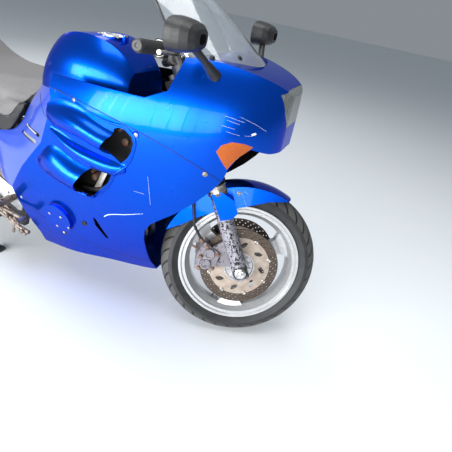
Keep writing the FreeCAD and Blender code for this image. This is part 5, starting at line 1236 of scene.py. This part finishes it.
# columns: across, up, radius, marks
DIALS = [(-0.062, 0.003, 0.032, 13), (0.026, 0.003, 0.032, 13), (0.094, 0.006, 0.022, 7)]
SCALE_START, SCALE_SWEEP, NEEDLE_AT, TELL_TALES = 225, 270, 222, 5
dial_white = finish("dial_marks", (0.75, 0.76, 0.74), (0.65, 0.66, 0.65), 600, (0.5, 0.6), 0.05)
dial_black = finish("dial_black", (0.01, 0.01, 0.011), (0.016, 0.016, 0.017), 600, (0.6, 0.7), 0.05)
needle_orange = finish("needle_orange", (0.75, 0.12, 0.01), (0.6, 0.09, 0.01), 500, (0.4, 0.5), 0.05)
rims, faces, marks, needles, panes = [], [], [], [], []
for across, up, radius, count in DIALS:
    spot = shift((across, up, 0))
    rim = turned([(radius, 0.0006), (radius, 0.0034), (radius + 0.002, 0.0042), (radius + 0.004, 0.0032),
                  (radius + 0.004, 0.0004)], 48)
    rims.append(moved(rim, spot))
    faces.append(moved(turned([(0.0, 0.0012), (radius, 0.0012), (radius, 0.0004), (0.0, 0.0004)], 48), spot))
    for index in range(count):
        angle = math.radians(SCALE_START - SCALE_SWEEP * index / (count - 1))
        marks.append(slab(radius * (0.12 if index % 2 else 0.2), 0.0012, 0.0008, 0.0002,
                          spot @ spin(angle, "Z") @ shift((radius * 0.84, 0, 0.0016))))
    needles += [slab(radius * 0.9, 0.0016, 0.001, 0.0003,
                     spot @ spin(math.radians(NEEDLE_AT), "Z") @ shift((radius * 0.36, 0, 0.0022))),
                moved(drum(radius * 0.12, 0.0022, 20), spot @ shift((0, 0, 0.002)))]
    panes.append(moved(turned([(0.0, 0.0039), (radius, 0.0036), (radius, 0.0031), (0.0, 0.0034)], 48), spot))
marks += [slab(0.007, 0.005, 0.002, 0.0008, shift((-0.042 + 0.012 * index, -0.033, 0.0012)))
          for index in range(TELL_TALES)]
for pieces, name, material, slot in ((rims, "dial_rims", box_plastic, "black_frame"),
                                     (faces, "dial_faces", dial_black, "black_frame"),
                                     (marks, "dial_marks", dial_white, "clear_glass"),
                                     (needles, "dial_needles", needle_orange, "amber_lens"),
                                     (panes, "dial_panes", clear_glass, "clear_glass")):
    settled(joined(pieces), name, "chassis", material, panel_place)


# Fuel cap: six socket screws round the collar, a ring pressed in the cap, and a
# lock flap with its keyhole.
CAP_X, COLLAR_SCREW_RADIUS, ABOVE_TANK = -0.61, 0.0455, 1.3
DOWN = Vector((0, 0, -1))


def from_above(name, x, y):
    """Where a node's skin is under a place, and the way it faces there."""
    return hit(node[name], at(x, y, ABOVE_TANK), DOWN)


collar_screws = []
for index in range(6):
    angle = math.radians(30 + 60 * index)
    spot = from_above("fuel_tank", CAP_X + COLLAR_SCREW_RADIUS * math.cos(angle), COLLAR_SCREW_RADIUS * math.sin(angle))
    collar_screws.append(button_screw(spot, 0.0036, 0.0022))
settled(joined(collar_screws), "cap_collar_screws", "chassis", zinc)
flap_place = outward(*from_above("fuel_cap", CAP_X - 0.024, 0))
flap = slab(0.02, 0.03, 0.0035, 0.0012, flap_place)
keyhole = slab(0.002, 0.008, 0.0008, 0.0002, flap_place @ shift((0, 0, 0.002)))
cap_ring = moved(turned([(0.029, 0.0), (0.0315, 0.0012), (0.034, 0.0)], 64), outward(*from_above("fuel_cap", CAP_X, 0)))
settled(joined([flap, cap_ring]), "cap_lock_flap", "fuel_cap", bright_metal)
settled(keyhole, "cap_keyhole", "fuel_cap", line_black)


# Final drive: a link chain of outer and inner plates on pins that runs over the
# wheel's sprocket, which has real teeth, and dives behind the cover at the front.
chain_steel = finish("chain_steel", (0.2, 0.17, 0.14), (0.11, 0.075, 0.05), 700, (0.4, 0.6), 0.3, 0.8, wear=0.6)
CHAIN_Y = 0.101
CHAIN_FRONT, CHAIN_REAR = at(-0.846, CHAIN_Y, 0.41), Vector((rear_axle.x, under_axle.y + CHAIN_Y, rear_axle.z))
PITCH, FRONT_RADIUS, TEETH = 0.015875, 0.0445, 39
REAR_RADIUS = PITCH / (2 * math.sin(math.pi / TEETH))
span = CHAIN_FRONT - CHAIN_REAR
lean = math.atan2(span.z, span.x)
spread = math.asin((REAR_RADIUS - FRONT_RADIUS) / math.hypot(span.x, span.z))
run_length = math.hypot(span.x, span.z) * math.cos(spread)
rear_arc, front_arc = math.pi + 2 * spread, math.pi - 2 * spread
upper, lower = lean + math.pi / 2 - spread, lean - math.pi / 2 + spread
chain_length = 2 * run_length + rear_arc * REAR_RADIUS + front_arc * FRONT_RADIUS


def upright(reach, angle):
    """A step of that length in the machine's upright plane."""
    return reach * Vector((math.cos(angle), 0, math.sin(angle)))


def on_chain(travel):
    """The place at a distance along the chain's line, and the way it runs there."""
    for middle, radius, arc, first, last in ((CHAIN_REAR, REAR_RADIUS, rear_arc, upper, lower),
                                             (CHAIN_FRONT, FRONT_RADIUS, front_arc, lower, upper)):
        if travel < arc * radius:
            angle = first + travel / radius
            return middle + upright(radius, angle), angle + math.pi / 2
        travel -= arc * radius
        if travel < run_length:
            ahead = last + math.pi / 2
            return middle + upright(radius, last) + upright(travel, ahead), ahead
        travel -= run_length


def chain_plate(across):
    """A waisted link plate, long way along X, at a distance from the chain's middle."""
    corners = []
    for index in range(24):
        angle = 2 * math.pi * index / 24
        x, z = math.cos(angle), math.sin(angle)
        waist = 0.0065 - 0.0011 * (1 - min(1, abs(x) * 1.6))
        corners.append((x * 0.0058 + math.copysign(PITCH / 2, x) * (abs(x) > 0.05), across, z * waist))
    return sheet(corners, 0.0018, 0.0)


def chain_link(half_width, pin_length, pin_radius):
    """Two plates and the pins or rollers in their ends."""
    return joined([chain_plate(half_width), chain_plate(-half_width)]
                  + [crosswise((end, 0, 0), pin_radius, pin_length) for end in (PITCH / 2, -PITCH / 2)])


pairs = int(round(chain_length / PITCH / 2))
link_places = []
for index in range(2 * pairs):
    place, angle = on_chain(chain_length * (index + 0.5) / (2 * pairs))
    link_places.append(shift(place) @ spin(-angle, "Y"))
outer_links = repeated(chain_link(0.0072, 0.0195, 0.0026), link_places[0::2])
inner_links = repeated(chain_link(0.0048, 0.0095, 0.0051), link_places[1::2])
chain = joined([link for pair in zip(outer_links, inner_links) for link in pair])
settled(chain, "chain_links", "chassis", chain_steel)
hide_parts("drive_chain")


# Sprocket on the rear wheel: steel, thirty-nine teeth, a ring of holes and five
# carrier nuts.
TOOTH_PROFILE = (0.0052, 0.0036, -0.0022, -0.0046, -0.0022, 0.0036)
corners = []
for index in range(TEETH * len(TOOTH_PROFILE)):
    angle = 2 * math.pi * index / (TEETH * len(TOOTH_PROFILE))
    corners.append(upright(REAR_RADIUS + TOOTH_PROFILE[index % len(TOOTH_PROFILE)], angle))
toothed = sheet(corners, 0.0056, 0.0005)
cutters, carrier_nuts = [crosswise((0, 0, 0), 0.034, 0.03)], []
for index in range(10):
    around = spin(2 * math.pi * index / 10, "Y")
    cutters.append(moved(crosswise((0.072, 0, 0), 0.0085, 0.03), around))
    if index % 2:
        carrier_nuts.append(moved(crosswise((0.052, 0.006, 0), 0.0085, 0.008, 6), around))
bored(toothed, cutters)
settled(toothed, "rear_sprocket_teeth", "rear_wheel", chain_steel, shift(CHAIN_REAR))
settled(joined(carrier_nuts), "rear_sprocket_nuts", "rear_wheel", zinc, shift(CHAIN_REAR))
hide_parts("rear_sprocket")


# Damper and stand springs: a black spring wound round the damper between its two
# seats, and rusty steel springs that hold the stands.
spring_black = finish("spring_black", (0.02, 0.02, 0.022), (0.05, 0.045, 0.04), 700, (0.3, 0.45), 0.1)
DAMPER_X = -1.09
# columns: the two ends as x, y, z in millimetres, radius of the coil
STAND_SPRINGS = [((-1095, 168, 205), (-1010, 168, 250), 0.0075), ((-884, 214, 236), (-948, 206, 205), 0.007)]


def coil(base, radius, length, turns, steps):
    """Places along a coil that winds up the Z of a frame."""
    places = []
    for index in range(turns * steps + 1):
        angle = index * 2 * math.pi / steps
        places.append(base @ Vector((radius * math.cos(angle), radius * math.sin(angle),
                                     length * index / (turns * steps))))
    return places


main_spring = bar(coil(shift(at(DAMPER_X, 0, 0.44)), 0.0285, 0.15, 7, 16), 0.0055)
seats = [moved(turned([(0.0205, -0.003), (0.034, -0.003), (0.0355, 0.0), (0.034, 0.003), (0.0205, 0.003)], 40),
               shift(at(DAMPER_X, 0, height))) for height in (0.437, 0.593)]
settled(joined([main_spring] + seats), "rear_spring", "chassis", spring_black)
springs = []
for start, end, radius in STAND_SPRINGS:
    run = mm(*end) - mm(*start)
    springs.append(bar(coil(outward(mm(*start), run), radius, run.length, 12, 8), 0.0013, rounding=1))
settled(joined(springs), "stand_springs", "chassis", chain_steel)


# Silencers: three clamp bands each and a riveted end cap, of steel gone blue and
# brown at the welds.
weld_blue = finish("exhaust_weld", (0.3, 0.25, 0.2), (0.14, 0.12, 0.16), 260, (0.25, 0.45), 0.35, 0.95, wear=0.6)
SILENCER_FRONT, SILENCER_REAR, SILENCER_RADIUS = (-1.092, 0.212, 0.3316), (-1.745, 0.212, 0.408), 0.052
# half of a band's section: height over the silencer, distance from the band's middle
BAND = [(-0.001, -0.01), (0.0014, -0.0095), (0.0018, -0.007), (0.0008, -0.0055)]
for side, side_name in SIDES:
    front, rear = (at(x, side * y, z) for x, y, z in (SILENCER_FRONT, SILENCER_REAR))
    long = (rear - front).length
    section = BAND + [(over, -off) for over, off in BAND[::-1]]
    bands = [turned([(SILENCER_RADIUS + over, along + off) for over, off in section], 64)
             for along in (0.012, long * 0.33, long - 0.03)]
    end = turned([(0.021, long - 0.002), (0.046, long - 0.002), (0.0495, long - 0.0005), (0.047, long + 0.0022),
                  (0.03, long + 0.0035), (0.0225, long + 0.007), (0.021, long + 0.007)], 64)
    rivets = repeated(drum(0.003, 0.0024), [spin(2 * math.pi * (index + 0.5) / 8, "Z")
                                            @ shift((0.039, 0, long + 0.0022)) for index in range(8)])
    settled(joined(bands + [end] + rivets), "silencer_bands_" + side_name, "chassis", weld_blue,
            outward(front, (rear - front).normalized()))


# Tail lamp's ribs: six bars of the same red plastic, moulded across the lens and
# following its curve.
ribs = [bar([at(-1.9335, y / 1000, 0.812 + 0.009 * index) for y in (-54, -30, 0, 30, 54)], 0.0011)
        for index in range(6)]
settled(joined(ribs), "tail_lamp_ribs", "chassis", red_ribbed)


# Valve stems: black rubber with a cap, one through the well of each rim, turned
# as one piece and pulled through from inside.
VALVE_RADIUS, VALVE_ANGLE = 0.2, math.radians(200)
for name, middle, straight in (("front", front_axle, steered), ("rear", rear_axle, Matrix.Identity(4))):
    stem = turned([(0.0, 0.0), (0.0035, 0.0), (0.0035, 0.012), (0.0026, 0.013), (0.0026, 0.026), (0.0038, 0.0265),
                   (0.0038, 0.034), (0.002, 0.0355), (0.0, 0.0355)], 16)
    settled(stem, "valve_stem_" + name, name + "_wheel", welt_black,
            straight @ shift(middle) @ spin(VALVE_ANGLE, "Y") @ shift((0, 0.012, VALVE_RADIUS))
            @ spin(math.pi, "X"))
